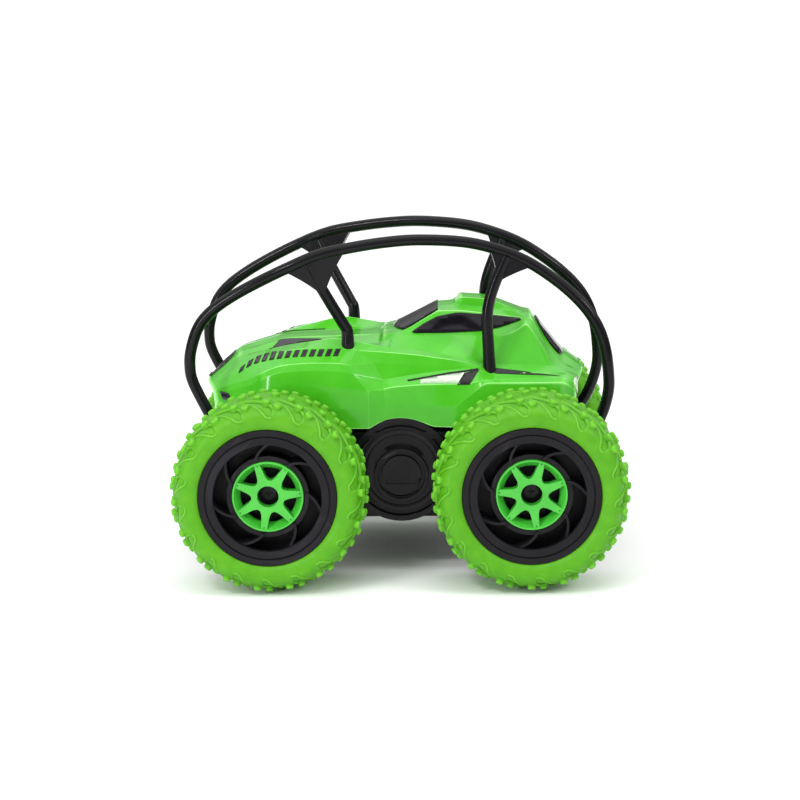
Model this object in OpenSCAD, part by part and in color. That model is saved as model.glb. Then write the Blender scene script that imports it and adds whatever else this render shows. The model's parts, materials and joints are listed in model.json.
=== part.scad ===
// Remote-controlled stunt car: body shell between four large nubbed wheels,
// two roll hoops over it, and a geared drive down each side.
// Front is -X, the car's left side is -Y, the ground is Z = 0.

/* [Wheels] */
// Radius of a wheel over the tread nubs
wheel_r = 47.5; // [47:0.5:48]
// Width of a tyre
tyre_w = 44; // [43:0.5:44]
// Distance between the mid-planes of the left and right tyres
track = 157; // [157:0.5:160]
// Radius of the lip that holds the tyre's bead
rim_r = 32.6; // [32:0.2:32.6]
// Outer radius of the hub insert
insert_r = 17.1; // [16.5:0.1:17.1]
// Radius of the hub insert's centre hole
insert_hole_r = 5.1; // [4.5:0.1:5.4]
// Spokes of the hub insert, and vanes of the rim
spokes = 7; // [5:1:9]
// Tread pitches round a tyre
pitches = 18; // [12:2:20]
// Radius of a tread nub
nub_r = 1.5; // [1:0.1:1.5]

/* [Drive] */
// Gear module of the side trains
side_m = 1; // [0.99:0.01:1.01]
// Teeth of a side's centre gear
centre_teeth = 24; // [24:4:24]
// Teeth of an idler gear
idler_teeth = 36; // [36:4:36]
// Teeth of an axle gear
axle_teeth = 28; // [28:4:28]
// Gear module of the motor stage
motor_m = 0.8; // [0.79:0.01:0.81]
// Teeth of the motor pinion
pinion_teeth = 10; // [10:1:10]
// Teeth of the wheel that the pinion drives
reduction_teeth = 36; // [36:4:36]
// Radius of a wheel axle
axle_r = 2.5; // [2:0.25:2.5]
// Radial running clearance of a shaft
run_gap = 0.05; // [0.03:0.01:0.08]
// Radial gap of an axle in the gear fixed on it
fit_gap = 0.02; // [0.01:0.01:0.03]

/* [Chassis] */
// Height of the tub's underside above the ground
tub_z = 27.5; // [27:0.5:28]
// Half width of the tub
tub_half = 33.5; // [33:0.5:33.5]
// Wall thickness of the chassis mouldings
wall = 2; // [1.6:0.2:2.2]
// Wall thickness of a gearbox cover round the gears
cover_wall = 1.6; // [1.2:0.2:1.8]
// Radius of the round boss on a gearbox cover
boss_r = 25.5; // [24.5:0.5:25.5]

/* [Body] */
// Wall thickness of the body shell
skin = 1.8; // [1.4:0.2:2]
// Thickness of a window pane or lamp lens
pane = 1.2; // [0.8:0.2:1.4]
// Height of the air scoop above the roof
scoop_h = 3.8; // [2:0.2:4.5]

/* [Roll cage] */
// Diameter of the hoop tube
hoop_d = 5.7; // [5:0.1:6]
// Diameter of the struts
strut_d = 5.4; // [5:0.1:5.8]

/* [Hidden] */

body_green = [0.20, 0.72, 0.22];
tyre_green = [0.42, 0.80, 0.13];
cage_black = [0.06, 0.06, 0.07];
case_black = [0.09, 0.09, 0.10];
lens_dark = [0.05, 0.05, 0.06];
lens_clear = [0.70, 0.80, 0.68];
steel = [0.70, 0.70, 0.72];
black_steel = [0.12, 0.12, 0.13];
brass = [0.80, 0.65, 0.30];
gear_white = [0.92, 0.92, 0.88];
board_green = [0.05, 0.35, 0.18];
wrap_blue = [0.10, 0.20, 0.55];
wire_red = [0.75, 0.10, 0.08];

SIDES = [["left", -1], ["right", 1]];
ENDS = [["front", -1], ["rear", 1]];

// Gear train: the axle gears, idlers and centre gear mesh in a straight line
idler_x = side_m * (centre_teeth + idler_teeth) / 2;
axle_x = idler_x + side_m * (idler_teeth + axle_teeth) / 2;
hub_z = wheel_r;
mid_y = track / 2;

// Layers of a side gearbox, measured outward from the symmetry plane
reduction_layer = [35.5, 38.7];
train_layer = [39.5, 45];
cover_y = tub_half + 13;
cover_face_y = cover_y + wall;
boss_face_y = 51;
bush_end_y = 54.5;
boss_z = 50.4;
pin_r = 1.5;
bush_r = 4.5;

// Motor: above and in front of the centre gear
motor_angle = 120;
motor_reach = motor_m * (pinion_teeth + reduction_teeth) / 2;
motor_x = motor_reach * cos(motor_angle);
motor_z = hub_z + motor_reach * sin(motor_angle);
motor_end_y = 32;
motor_len = 24;
motor_shaft_r = 1;

tub_top = 71.5;
deck_top = tub_top + wall;
post_x = 68;
post_y = 20;
screw_r = 1.4;
cover_screw_x = 46;
cover_screw_z = 14.5;
train_room = 19.2;
// Battery door: pivots at its front edge, its screw near the rear one
door_x = [-17, 24];
door_y = 27;
door_t = wall - 0.4;
door_gap = 0.4;
door_axis = [door_x[0] + door_gap + door_t / 2, tub_z + door_t / 2];
door_screw_x = 20;
switch_x = 45;

// ---------------------------------------------------------------- helpers

// Draws the left side's geometry, and mirrors it for the right
module on_side(s) {
    if (s < 0) children();
    else mirror([0, 1, 0]) children();
}

// Local XY becomes the car's XZ plane and local +Z points outward on the left side
module outward(x, y, z) {
    translate([x, -y, z]) rotate([90, 0, 0]) children();
}

module ring(ro, ri, z0, z1, fn = 64) {
    translate([0, 0, z0]) difference() {
        cylinder(r = ro, h = z1 - z0, $fn = fn);
        translate([0, 0, -1]) cylinder(r = ri, h = z1 - z0 + 2, $fn = fn);
    }
}

// A straight-flanked spur gear outline with backlash
function tooth(r, m, step, a) = [
    for (c = [[-1.15, -0.27], [0.85, -0.12], [0.85, 0.12], [-1.15, 0.27]])
        (r + c[0] * m) * [cos(a + c[1] * step), sin(a + c[1] * step)]
];

module gear(teeth, m, h, bore, phase) {
    step = 360 / teeth;
    difference() {
        linear_extrude(h)
            polygon([for (k = [0:teeth - 1]) each tooth(m * teeth / 2, m, step, phase + k * step)]);
        translate([0, 0, -1]) cylinder(r = bore, h = h + 2, $fn = 32);
    }
}

// A closed solid between two grids of points
function quad(a, b, c, d) = [[a, b, c], [a, c, d]];

module grid_solid(outer, inner) {
    n = len(outer);
    m = len(outer[0]);
    shift = n * m;
    polyhedron(
        points = concat([for (r = outer) each r], [for (r = inner) each r]),
        faces = [
            for (i = [0:n - 2], j = [0:m - 2]) each
                quad(i * m + j, i * m + j + 1, (i + 1) * m + j + 1, (i + 1) * m + j),
            for (i = [0:n - 2], j = [0:m - 2]) each
                quad(shift + i * m + j, shift + (i + 1) * m + j,
                     shift + (i + 1) * m + j + 1, shift + i * m + j + 1),
            for (i = [0:n - 2]) each
                quad(i * m, (i + 1) * m, shift + (i + 1) * m, shift + i * m),
            for (i = [0:n - 2]) each
                quad((i + 1) * m + m - 1, i * m + m - 1,
                     shift + i * m + m - 1, shift + (i + 1) * m + m - 1),
            for (j = [0:m - 2]) each quad(j + 1, j, shift + j, shift + j + 1),
            for (j = [0:m - 2]) each
                quad((n - 1) * m + j, (n - 1) * m + j + 1,
                     shift + (n - 1) * m + j + 1, shift + (n - 1) * m + j)
        ]
    );
}

// A round tube swept along a path of points
function unit(v) = v / norm(v);
function tangent(p, i) = unit(p[min(i + 1, len(p) - 1)] - p[max(i - 1, 0)]);
function ring_at(p, i, r, n) =
    let (t = tangent(p, i), u = unit(cross(t, [0, 1, 0.1])), v = cross(t, u))
    [for (k = [0:n - 1]) p[i] + r * (cos(k * 360 / n) * u + sin(k * 360 / n) * v)];

module tube(p, r, n) {
    m = len(p);
    polyhedron(
        points = [for (i = [0:m - 1]) each ring_at(p, i, r, n)],
        faces = concat(
            [[for (k = [0:n - 1]) k]],
            [for (i = [0:m - 2], k = [0:n - 1]) each
                quad(i * n + k, (i + 1) * n + k, (i + 1) * n + (k + 1) % n, i * n + (k + 1) % n)],
            [[for (k = [n - 1:-1:0]) (m - 1) * n + k]]
        )
    );
}

// A smooth curve through hand-set points
function spline_point(a, b, c, d, t) =
    0.5 * (2 * b + (c - a) * t + (2 * a - 5 * b + 4 * c - d) * t * t
           + (3 * b - a - 3 * c + d) * t * t * t);
function smooth(p, steps) = [
    for (i = [0:len(p) - 2], k = [0:steps - 1])
        spline_point(p[max(i - 1, 0)], p[i], p[i + 1], p[min(i + 2, len(p) - 1)], k / steps),
    p[len(p) - 1]
];

// ---------------------------------------------------------------- body surface

// Character lines of the body, from the centre line out to the sill: [x, y, z]
LINES = [
    // centre line
    [[-98.5, 0, 88], [-90, 0, 97], [-82, 0, 103.6], [-70, 0, 107.6], [-58, 0, 110],
     [-35, 0, 110.5], [-11, 0, 111.6], [-5, 0, 113.3], [18, 0, 125.2], [26.5, 0, 126],
     [45, 0, 125], [64.5, 0, 121], [70, 0, 114], [80, 0, 101.5], [84, 0, 99.4], [91, 0, 94]],
    // scoop top edge
    [[-98.5, 5, 88], [-82, 7, 103.4], [-58, 8.5, 109.8], [-11, 9, 111.4], [-5, 9, 112.8],
     [18, 8.5, 125], [26.5, 8.5, 125.8], [45, 8.5, 124.8], [64.5, 8.5, 120.8],
     [80, 9, 101.2], [84, 9, 99.2], [91, 9, 94]],
    // scoop foot
    [[-98.5, 8, 88], [-82, 10, 103.3], [-58, 11, 109.6], [-11, 12, 111], [-5, 12, 112.4],
     [18, 10.5, 124.8], [26.5, 10.5, 125.6], [45, 10.5, 124.6], [64.5, 10.5, 120.6],
     [80, 12, 101], [84, 12, 99], [91, 12, 93.9]],
    // hood, roof and deck edge
    [[-98.5, 12, 88], [-82, 15, 103], [-60, 17, 109.2], [-35, 18, 109.8], [-11, 20, 110.2],
     [1.5, 22, 114.4], [18.5, 18.5, 124.2], [30, 19, 124.2], [60, 18.5, 120.4],
     [65, 17.8, 119.8], [73, 22, 105.5], [80, 23, 98.8], [91, 22, 93.6]],
    // hood valley and cabin sill
    [[-98.5, 16, 88], [-82, 22, 102], [-60, 25, 107.8], [-35, 27, 108.8], [-11, 27.5, 109.4],
     [1.6, 27, 112.9], [7, 26.5, 114], [40, 28, 113.2], [46, 29, 110.5], [54, 30, 103],
     [61, 30, 98.5], [78, 28, 97], [84, 27, 96], [91, 26, 93.2]],
    // fender crest
    [[-98.5, 20, 87.6], [-90, 25, 95], [-82, 28, 100.2], [-70, 30.5, 105], [-60, 32.5, 108.6],
     [-52, 34, 111.2], [-39, 36, 113], [-26, 37.5, 112.8], [-12, 38, 109.8], [3, 38.8, 107],
     [16, 40, 104.5], [32, 42, 102], [38, 43, 100.2], [45, 41, 97.6], [60, 38, 97],
     [86, 35, 95.6], [91, 33, 92.6]],
    // shoulder
    [[-98.5, 26, 86], [-90, 35, 90.8], [-82, 43, 94.5], [-72, 49.3, 99], [-58, 51, 102.6],
     [-45, 51.5, 103.8], [-30, 51, 103.2], [-24, 47, 102.6], [-15.5, 46.4, 97.6],
     [-8, 46, 95.4], [15, 45.2, 98], [33, 43.6, 99.6], [38, 44.2, 98.6], [43, 45, 96.2],
     [60, 44, 95.8], [86, 42.5, 95], [91, 38, 91.5]],
    // waist
    [[-98.5, 28, 83], [-90, 39, 86], [-82, 47, 89], [-72, 51.6, 94], [-58, 53, 97.4],
     [-45, 53.4, 98.4], [-30, 53, 98], [-23, 50.5, 98.2], [-15.5, 51.7, 90.3],
     [-8, 48.6, 93.8], [10, 49.4, 93.3], [33, 50, 92.8], [41, 50, 94.8], [60, 48, 95.2],
     [86, 45.5, 94.6], [91, 41, 90]],
    // fender side
    [[-98.5, 29, 80], [-90, 41, 81], [-82, 49, 82], [-72, 53, 83], [-58, 54, 84],
     [-30, 53.8, 84], [-15.5, 52, 82], [-8, 49, 84], [12, 49.8, 82], [26.5, 51.8, 81.8],
     [41, 50.9, 94.4], [60, 50.6, 94.4], [86, 48, 94.2], [91, 43, 87]],
    // sill
    [[-98.5, 28, 75.5], [-90, 40.5, 73], [-82, 48.5, 71.2], [-72, 52.8, 70.4], [-58, 53.8, 70.3],
     [-15.5, 51.9, 70.3], [-7, 48.8, 70.3], [20, 49.8, 70.6], [27, 52.2, 70.6],
     [60, 52.6, 70.6], [82, 50, 71.4], [91, 43.5, 78]]
];
LAST = len(LINES) - 1;
STATIONS = [
    -98.5, -94, -90, -86, -82, -77, -72, -65, -58, -52, -45, -39, -32, -26, -23.5, -19,
    -15.5, -12, -8, -4, 0, 4, 8, 12, 16, 18.5, 22, 26.5, 29.3, 33, 38, 41, 45, 50, 54,
    60, 64.5, 70, 75, 80, 84, 88, 91
];
nose_sweep = 17;
tail_sweep = 7;
arch_r = boss_r + 0.8;

function line_y(j, x) = lookup(x, [for (p = LINES[j]) [p[0], p[1]]]);
function line_z(j, x) = lookup(x, [for (p = LINES[j]) [p[0], p[2]]]);
// The scoop rises just behind the windshield and fades out at the back of the roof
function scoop(x) = scoop_h * lookup(x, [[26.5, 0], [29.3, 1], [42, 0.92], [61, 0]]);
// The sill arches over the boss of the gearbox cover
function sill_z(x, z) = abs(x) < arch_r ? max(z, boss_z + sqrt(arch_r * arch_r - x * x)) : z;
// Nose and tail are rounded in plan
function swept(x, y) = x
    + nose_sweep * pow(y / 50, 2) * max(0, min(1, (-60 - x) / 38))
    - tail_sweep * pow(y / 50, 2) * max(0, min(1, (x - 70) / 21));

function edge(j, x) =
    let (y = line_y(j, x), z0 = line_z(j, x),
         z = j <= 1 ? z0 + scoop(x) : j == LAST ? sill_z(x, z0) : z0)
    [swept(x, y), y, z];
// A point on the body, s counting the character lines from the centre out
function body(x, s) =
    let (j = min(floor(s), LAST - 1), t = s - j) (1 - t) * edge(j, x) + t * edge(j + 1, x);
function flip(p) = [p[0], -p[1], p[2]];
function section(x) = concat(
    [for (j = [LAST:-1:1]) flip(edge(j, x))], [for (j = [0:LAST]) edge(j, x)]
);
// Moves a point of the body inward by t
function inward(p, t, keep_z) = [
    p[0] - t * max(-1, min(1, p[0] / 70)) * (abs(p[0]) > 80 ? 1 : 0),
    p[1] - t * max(-1, min(1, p[1] / 25)),
    keep_z ? p[2] : p[2] - t
];

module body_shell() color(body_green) {
    outer = [for (x = STATIONS) section(x)];
    n = len(outer);
    m = len(outer[0]);
    inner = [for (r = outer) [for (j = [0:m - 1]) inward(r[j], skin, j == 0 || j == m - 1)]];
    shift = n * m;
    half = (m - 1) / 2;
    e = (n - 1) * m;
    polyhedron(
        points = concat([for (r = outer) each r], [for (r = inner) each r]),
        faces = [
            for (i = [0:n - 2], j = [0:m - 2]) each
                quad(i * m + j, i * m + j + 1, (i + 1) * m + j + 1, (i + 1) * m + j),
            for (i = [0:n - 2], j = [0:m - 2]) each
                quad(shift + i * m + j, shift + (i + 1) * m + j,
                     shift + (i + 1) * m + j + 1, shift + i * m + j + 1),
            // lower rims of the two sides
            for (i = [0:n - 2]) each
                quad(i * m, (i + 1) * m, shift + (i + 1) * m, shift + i * m),
            for (i = [0:n - 2]) each
                quad((i + 1) * m + m - 1, i * m + m - 1,
                     shift + i * m + m - 1, shift + (i + 1) * m + m - 1),
            // nose and tail walls, outer and inner
            for (j = [0:half - 1]) each quad(j, m - 1 - j, m - 2 - j, j + 1),
            for (j = [0:half - 1]) each
                quad(shift + j, shift + j + 1, shift + m - 2 - j, shift + m - 1 - j),
            for (j = [0:half - 1]) each quad(e + j, e + j + 1, e + m - 2 - j, e + m - 1 - j),
            for (j = [0:half - 1]) each
                quad(shift + e + j, shift + e + m - 1 - j, shift + e + m - 2 - j, shift + e + j + 1),
            // lower rims of nose and tail
            each quad(0, shift, shift + m - 1, m - 1),
            each quad(e, e + m - 1, shift + e + m - 1, shift + e)
        ]
    );
}

// A pane or lens that lies in the body's surface between two character positions
module lens(x0, x1, steps, lo, hi, rows = 2) {
    function at(x, k, t) =
        let (p = body(x, lookup(x, lo) + (lookup(x, hi) - lookup(x, lo)) * k / rows))
        [p[0], p[1] + t * max(0, min(1, p[1] / 25)), p[2] + t];
    xs = [for (i = [0:steps]) x0 + (x1 - x0) * i / steps];
    grid_solid(
        [for (x = xs) [for (k = [0:rows]) at(x, k, 0.3)]],
        [for (x = xs) [for (k = [0:rows]) at(x, k, 0.3 - pane)]]
    );
}

module both_sides() {
    children();
    mirror([0, 1, 0]) children();
}

// Height of the bonnet, windshield and roof at any point over the cabin
function skin_z(x, y) = lookup(abs(y), [for (j = [0:4]) [line_y(j, x), line_z(j, x)]]);
glass_x = [-4, 17.5];
glass_y = [19, 16.8];
glass_sweep = 6;
function glass(u, v, t) =
    let (x = glass_x[0] + (glass_x[1] - glass_x[0]) * u,
         y = (glass_y[0] + (glass_y[1] - glass_y[0]) * u) * v,
         back = x + glass_sweep * (1 - u) * v * v)
    [back - t / 2, y, skin_z(back, y) + t];

module windshield() color(lens_dark)
    grid_solid(
        [for (u = [0:1/6:1.01]) [for (v = [-1:0.25:1]) glass(u, v, 0.4)]],
        [for (u = [0:1/6:1.01]) [for (v = [-1:0.25:1]) glass(u, v, 0.4 - pane)]]
    );

module side_windows() color(lens_dark) both_sides()
    lens(8, 59, 12,
         [[8, 3.72], [20, 3.25], [30, 3.13], [45, 3.15], [59, 3.2]],
         [[8, 3.86], [14, 3.8], [42, 3.8], [50, 3.55], [59, 3.25]]);

module rear_window() color(lens_dark) both_sides()
    lens(67, 80.5, 4, [[67, 0], [80.5, 0]], [[67, 2.6], [80.5, 2.8]], 4);

module headlamps() color(lens_dark) both_sides()
    lens(-95.5, -83, 4, [[-95.5, 3.7], [-83, 3.1]], [[-95.5, 4.1], [-83, 4.5]]);

module fog_lamps() color(lens_dark) both_sides()
    lens(-96, -90.5, 2, [[-96, 6.4], [-90.5, 7.1]], [[-96, 6.9], [-90.5, 7.6]]);

module hood_vents() color(lens_dark) both_sides()
    lens(-65, -42, 4, [[-65, 4.2], [-60, 3.4], [-42, 3.5]], [[-65, 4.35], [-60, 4.1], [-42, 3.62]]);

module tail_lamps() color(lens_clear) both_sides()
    lens(85.5, 90.8, 3, [[85.5, 6.7], [90.8, 5.4]], [[85.5, 8.05], [90.8, 8.6]], 4);

// ---------------------------------------------------------------- roll cage

hoop_path = [
    [-86, -44, 62], [-89.5, -46, 70.5], [-94.5, -47.5, 80.5], [-101, -46.8, 94],
    [-102.4, -46.5, 102], [-101.6, -46.6, 110], [-98.2, -47.1, 120], [-93, -47.9, 127.2],
    [-84.4, -49.2, 134], [-72, -51.2, 141.3], [-55, -52.3, 149.6], [-39, -49.8, 156],
    [-22.5, -47.4, 159.3], [-6, -44.8, 161.4], [10, -42.6, 162.1], [31, -39.8, 160.6],
    [47, -37.9, 156.7], [62.5, -37.3, 150.2], [78, -38.2, 139.7], [89.4, -40, 129],
    [96.2, -41.1, 118.7], [99.8, -41.6, 108], [101.3, -41.9, 97], [101.4, -41.8, 87.5],
    [98.8, -41.4, 77], [94.2, -41, 67.5], [87.6, -40.5, 59.5]
];
front_strut = [[-25.5, -40.6, 109], [-25.8, -40.4, 117.5], [-27.5, -41.2, 121], [-37.5, -45.4, 139],
               [-43.5, -49.6, 151.5]];
rear_strut = [[43.6, -41.4, 95], [43, -40.8, 108], [42.4, -40.2, 123], [43.6, -39.6, 132],
              [47, -38.9, 142], [52, -38.1, 153.2]];
gusset_t = 3.4;

// A flat web between a strut's top and the hoop, from three corners
module gusset(a, b, c) {
    n = unit(cross(b - a, c - a)) * gusset_t / 2;
    p = [a, b, c];
    polyhedron(
        points = concat([for (q = p) q + n], [for (q = p) q - n]),
        faces = [[2, 1, 0], [3, 4, 5], [0, 1, 4], [0, 4, 3], [1, 2, 5], [1, 5, 4], [2, 0, 3], [2, 3, 5]]
    );
}

module cage(s) color(cage_black) on_side(s) {
    tube(smooth(hoop_path, 2), hoop_d / 2, 10);
    tube(front_strut, strut_d / 2, 10);
    tube(rear_strut, strut_d / 2, 10);
    gusset([-37.5, -45.4, 137], [-55, -52.2, 148.5], [-27, -48, 157.5]);
    gusset([48, -38.6, 141.5], [43.5, -38.3, 157], [65, -37.2, 148.8]);
}

// ---------------------------------------------------------------- chassis

tub_profile = [[-80, tub_top], [-80, 50], [-72, 34], [-62, tub_z], [62, tub_z], [72, 34],
               [80, 50], [80, tub_top]];
tub_cavity = [[-78, tub_top + 1], [-78, 50.5], [-70.8, 35.8], [-61.2, tub_z + wall],
              [61.2, tub_z + wall], [70.8, 35.8], [78, 50.5], [78, tub_top + 1]];
bumper_z = 60;
bumper_half = [49, 46];

module bar(x0, x1, y0, y1, z0, z1) {
    translate([x0, y0, z0]) cube([x1 - x0, y1 - y0, z1 - z0]);
}

module at_posts(z) for (x = [-post_x, post_x], y = [-post_y, post_y]) translate([x, y, z]) children();

module at_cover_screws() for (x = [-cover_screw_x, cover_screw_x], z = [-cover_screw_z, cover_screw_z])
    translate([x, hub_z + z, 0]) children();

module chassis_tub() color(case_black) {
    tub();
    door_bridge();
}

module tub() difference() {
    union() {
        difference() {
            rotate([90, 0, 0]) linear_extrude(2 * tub_half, center = true) polygon(tub_profile);
            rotate([90, 0, 0]) linear_extrude(2 * (tub_half - wall), center = true)
                polygon(tub_cavity);
        }
        // posts that carry the long case screws
        at_posts(34) cylinder(r = 4.2, h = tub_top - 34, $fn = 32);
        // bumpers that hold the ends of the hoops
        bar(-90, -79.5, -tub_half, tub_half, bumper_z - 4, bumper_z + 6);
        bar(-90, -83.2, -bumper_half[0], bumper_half[0], bumper_z - 4, bumper_z + 6);
        bar(79.5, 91.5, -tub_half, tub_half, bumper_z - 6, bumper_z + 4);
        bar(83.2, 91.5, -bumper_half[1], bumper_half[1], bumper_z - 6, bumper_z + 4);
    }
    at_posts(20) {
        cylinder(r = screw_r + 0.3, h = 80, $fn = 32);
        cylinder(r = 3.2, h = 34, $fn = 32);
    }
    bar(door_x[0], door_x[1], -door_y, door_y, tub_z - 1, tub_z + wall + 1);
    bar(switch_x - 5, switch_x + 5, -2.6, 2.6, tub_z - 1, tub_z + wall + 1);
    rotate([90, 0, 0]) {
        for (x = [-axle_x, axle_x])
            translate([x, hub_z, 0]) cylinder(r = bush_r, h = 90, center = true, $fn = 48);
        for (x = [-idler_x, 0, idler_x])
            translate([x, hub_z, 0]) cylinder(r = pin_r, h = 90, center = true, $fn = 32);
        at_cover_screws() cylinder(r = screw_r + 0.05, h = 90, center = true, $fn = 32);
        translate([motor_x, motor_z, 0]) cylinder(r = 3.2, h = 90, center = true, $fn = 32);
    }
}

// Bridge inside the tub that the battery door's screw reaches
module door_bridge() difference() {
    bar(door_screw_x - 2.8, door_screw_x + 2.8, 1 - tub_half, tub_half - 1,
        tub_z + door_t + 0.3, tub_z + wall + 2);
    translate([door_screw_x, 0, tub_z]) cylinder(r = screw_r + 0.5, h = 10, $fn = 32);
}

module chassis_deck() color(case_black) difference() {
    union() {
        bar(-80, 80, -tub_half, tub_half, tub_top, deck_top);
        for (x = [14, 58], y = [-18, 18])
            translate([x, y, deck_top]) cylinder(r = 2.5, h = 4, $fn = 32);
        // posts that the body shell rests on
        for (e = [[-post_x, 102.5], [post_x, 99.5]], y = [-post_y, post_y])
            translate([e[0], y, deck_top - 0.5]) cylinder(r = 3.5, h = e[1] - deck_top + 0.5, $fn = 48);
    }
    at_posts(tub_top - 1) cylinder(r = screw_r + 0.05, h = 10, $fn = 32);
    bar(-32, -24, -14, 14, tub_top - 1, deck_top + 1);
}

// Outline of a gearbox cover in the car's XZ plane
module cover_outline(grow) {
    r = train_room + grow;
    for (x = [-axle_x, axle_x]) translate([x, hub_z]) circle(r = r, $fn = 96);
    translate([-axle_x, hub_z - r]) square([2 * axle_x, 2 * r]);
    translate([0, boss_z]) circle(r = boss_r - cover_wall + grow, $fn = 128);
}

module gearbox_cover(s) color(case_black) on_side(s) outward(0, 0, 0) difference() {
    union() {
        difference() {
            translate([0, 0, tub_half])
                linear_extrude(cover_face_y - tub_half) cover_outline(cover_wall);
            translate([0, 0, tub_half - 1]) linear_extrude(cover_y - tub_half + 1) cover_outline(0);
        }
        for (x = [-axle_x, axle_x]) translate([x, hub_z, 0])
            ring(bush_r + 2, bush_r, cover_y + 0.5, bush_end_y - 1);
        for (x = [-idler_x, 0, idler_x]) translate([x, hub_z, 0])
            ring(3, pin_r, train_layer[1] + 0.4, cover_y + 0.5, 32);
        at_cover_screws() ring(2.4, screw_r + 0.05, tub_half, cover_y + 0.5, 32);
        // stepped round boss at the middle of the cover
        translate([0, boss_z, cover_y]) {
            ring(boss_r, boss_r - 2.6, wall / 2, boss_face_y - cover_y);
            ring(boss_r - 4, boss_r - 5.2, wall / 2, boss_face_y - cover_y - 0.6);
        }
        translate([0, hub_z, cover_y]) {
            ring(13.2, 11.6, wall / 2, boss_face_y - cover_y - 0.4);
            translate([0, 0, wall / 2]) cylinder(r = 9.8, h = 3, $fn = 96);
        }
        // rail under the body's lower edge
        translate([-40, 65.5, cover_y + 0.5]) cube([80, 3.6, 3.1]);
    }
    // slot across the middle button
    translate([-7.5, hub_z - 4.2, cover_y + 3.2]) cube([15, 2.4, 3]);
    for (x = [-axle_x, axle_x]) translate([x, hub_z, tub_half])
        cylinder(r = bush_r, h = 30, $fn = 48);
    at_cover_screws() translate([0, 0, tub_half]) cylinder(r = screw_r + 0.05, h = 30, $fn = 32);
}

// ---------------------------------------------------------------- drive

// Every gear is drawn on the left side, in the car's XZ plane
module train_gear(x, teeth, phase, bore) {
    outward(x, train_layer[0], hub_z)
        gear(teeth, side_m, train_layer[1] - train_layer[0], bore, phase);
}

module centre_gear(s) color(gear_white) on_side(s) {
    train_gear(0, centre_teeth, 0, pin_r + run_gap);
    outward(0, reduction_layer[0], hub_z) {
        gear(reduction_teeth, motor_m, reduction_layer[1] - reduction_layer[0],
             pin_r + run_gap, 0);
        ring(8, pin_r + run_gap, reduction_layer[1] - reduction_layer[0] - 0.5,
             train_layer[0] - reduction_layer[0] + 0.5, 32);
    }
}

module idler(s, e) color(gear_white) on_side(s)
    train_gear(e * idler_x, idler_teeth, 180 / idler_teeth, pin_r + run_gap);

module axle_gear(s, e) color(gear_white) on_side(s)
    train_gear(e * axle_x, axle_teeth, 0, axle_r + fit_gap);

module motor_pinion(s) color(brass) on_side(s)
    outward(motor_x, reduction_layer[0], motor_z)
        gear(pinion_teeth, motor_m, reduction_layer[1] - reduction_layer[0],
             motor_shaft_r, motor_angle + 180 + 180 / pinion_teeth);

module motor_rotor(s) color(steel) on_side(s) outward(motor_x, 0, motor_z) {
    translate([0, 0, motor_end_y - motor_len - 0.8])
        cylinder(r = motor_shaft_r, h = reduction_layer[1] - motor_end_y + motor_len + 0.8, $fn = 32);
    translate([0, 0, motor_end_y - motor_len + 4]) cylinder(r = 5.8, h = motor_len - 8, $fn = 48);
}

module can(r, half, z0, z1) {
    translate([0, 0, z0]) intersection() {
        cylinder(r = r, h = z1 - z0, $fn = 96);
        translate([-r, -half, 0]) cube([2 * r, 2 * half, z1 - z0]);
    }
}

module motor(s) color(steel) on_side(s) outward(motor_x, 0, motor_z) difference() {
    union() {
        can(10, 7.5, motor_end_y - motor_len, motor_end_y - 0.6);
        translate([0, 0, motor_end_y - 1]) cylinder(r = 3.1, h = 2.2, $fn = 48);
    }
    can(9.2, 6.7, motor_end_y - motor_len + 1, motor_end_y - 1.6);
    cylinder(r = motor_shaft_r + run_gap, h = 60, $fn = 32);
}

module gear_pins() color(steel) both_sides()
    for (x = [-idler_x, 0, idler_x])
        outward(x, tub_half - wall, hub_z) cylinder(r = pin_r, h = cover_y - tub_half + wall, $fn = 32);

module axle_bushes() color(brass) both_sides()
    for (x = [-axle_x, axle_x]) outward(x, 0, hub_z) {
        ring(bush_r, axle_r + run_gap, tub_half - wall - 0.5, tub_half + 2, 48);
        ring(bush_r, axle_r + run_gap, train_layer[1] + 0.8, bush_end_y, 48);
    }

// ---------------------------------------------------------------- electrics

module battery_pack() color(wrap_blue) translate([0, 0, 38.3]) rotate([90, 0, 0])
    linear_extrude(50, center = true) {
        for (x = [-7.4, 7.4]) translate([x, 0]) circle(r = 7.3, $fn = 64);
        translate([-7.4, -7.3]) square([14.8, 14.6]);
    }

module battery_door() color(case_black) difference() {
    union() {
        bar(door_axis[0], door_x[1] - door_gap, -door_y + door_gap, door_y - door_gap,
            tub_z, tub_z + door_t);
        // rounded front edge, on the hinge's axis
        translate([door_axis[0], 0, door_axis[1]]) rotate([90, 0, 0])
            cylinder(r = door_t / 2, h = 2 * (door_y - door_gap), center = true, $fn = 32);
        for (y = [-18, -12, -6, 0, 6, 12, 18])
            bar(-6, 8, y - 0.6, y + 0.6, tub_z - 0.5, tub_z + 0.5);
    }
    translate([door_screw_x, 0, tub_z - 1]) cylinder(r = screw_r + 0.1, h = 5, $fn = 32);
}

module screw(len, head_r = 2.6, head_h = 1.6, r = screw_r) {
    difference() {
        union() {
            cylinder(r = head_r, h = head_h, $fn = 48);
            cylinder(r = r, h = len, $fn = 32);
        }
        for (a = [0, 90]) rotate([0, 0, a])
            translate([-1.5, -0.3, -0.1]) cube([3, 0.6, 1]);
    }
}

module door_screw() color(steel) translate([door_screw_x, 0, tub_z - 1.6]) screw(5.2);

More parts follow.
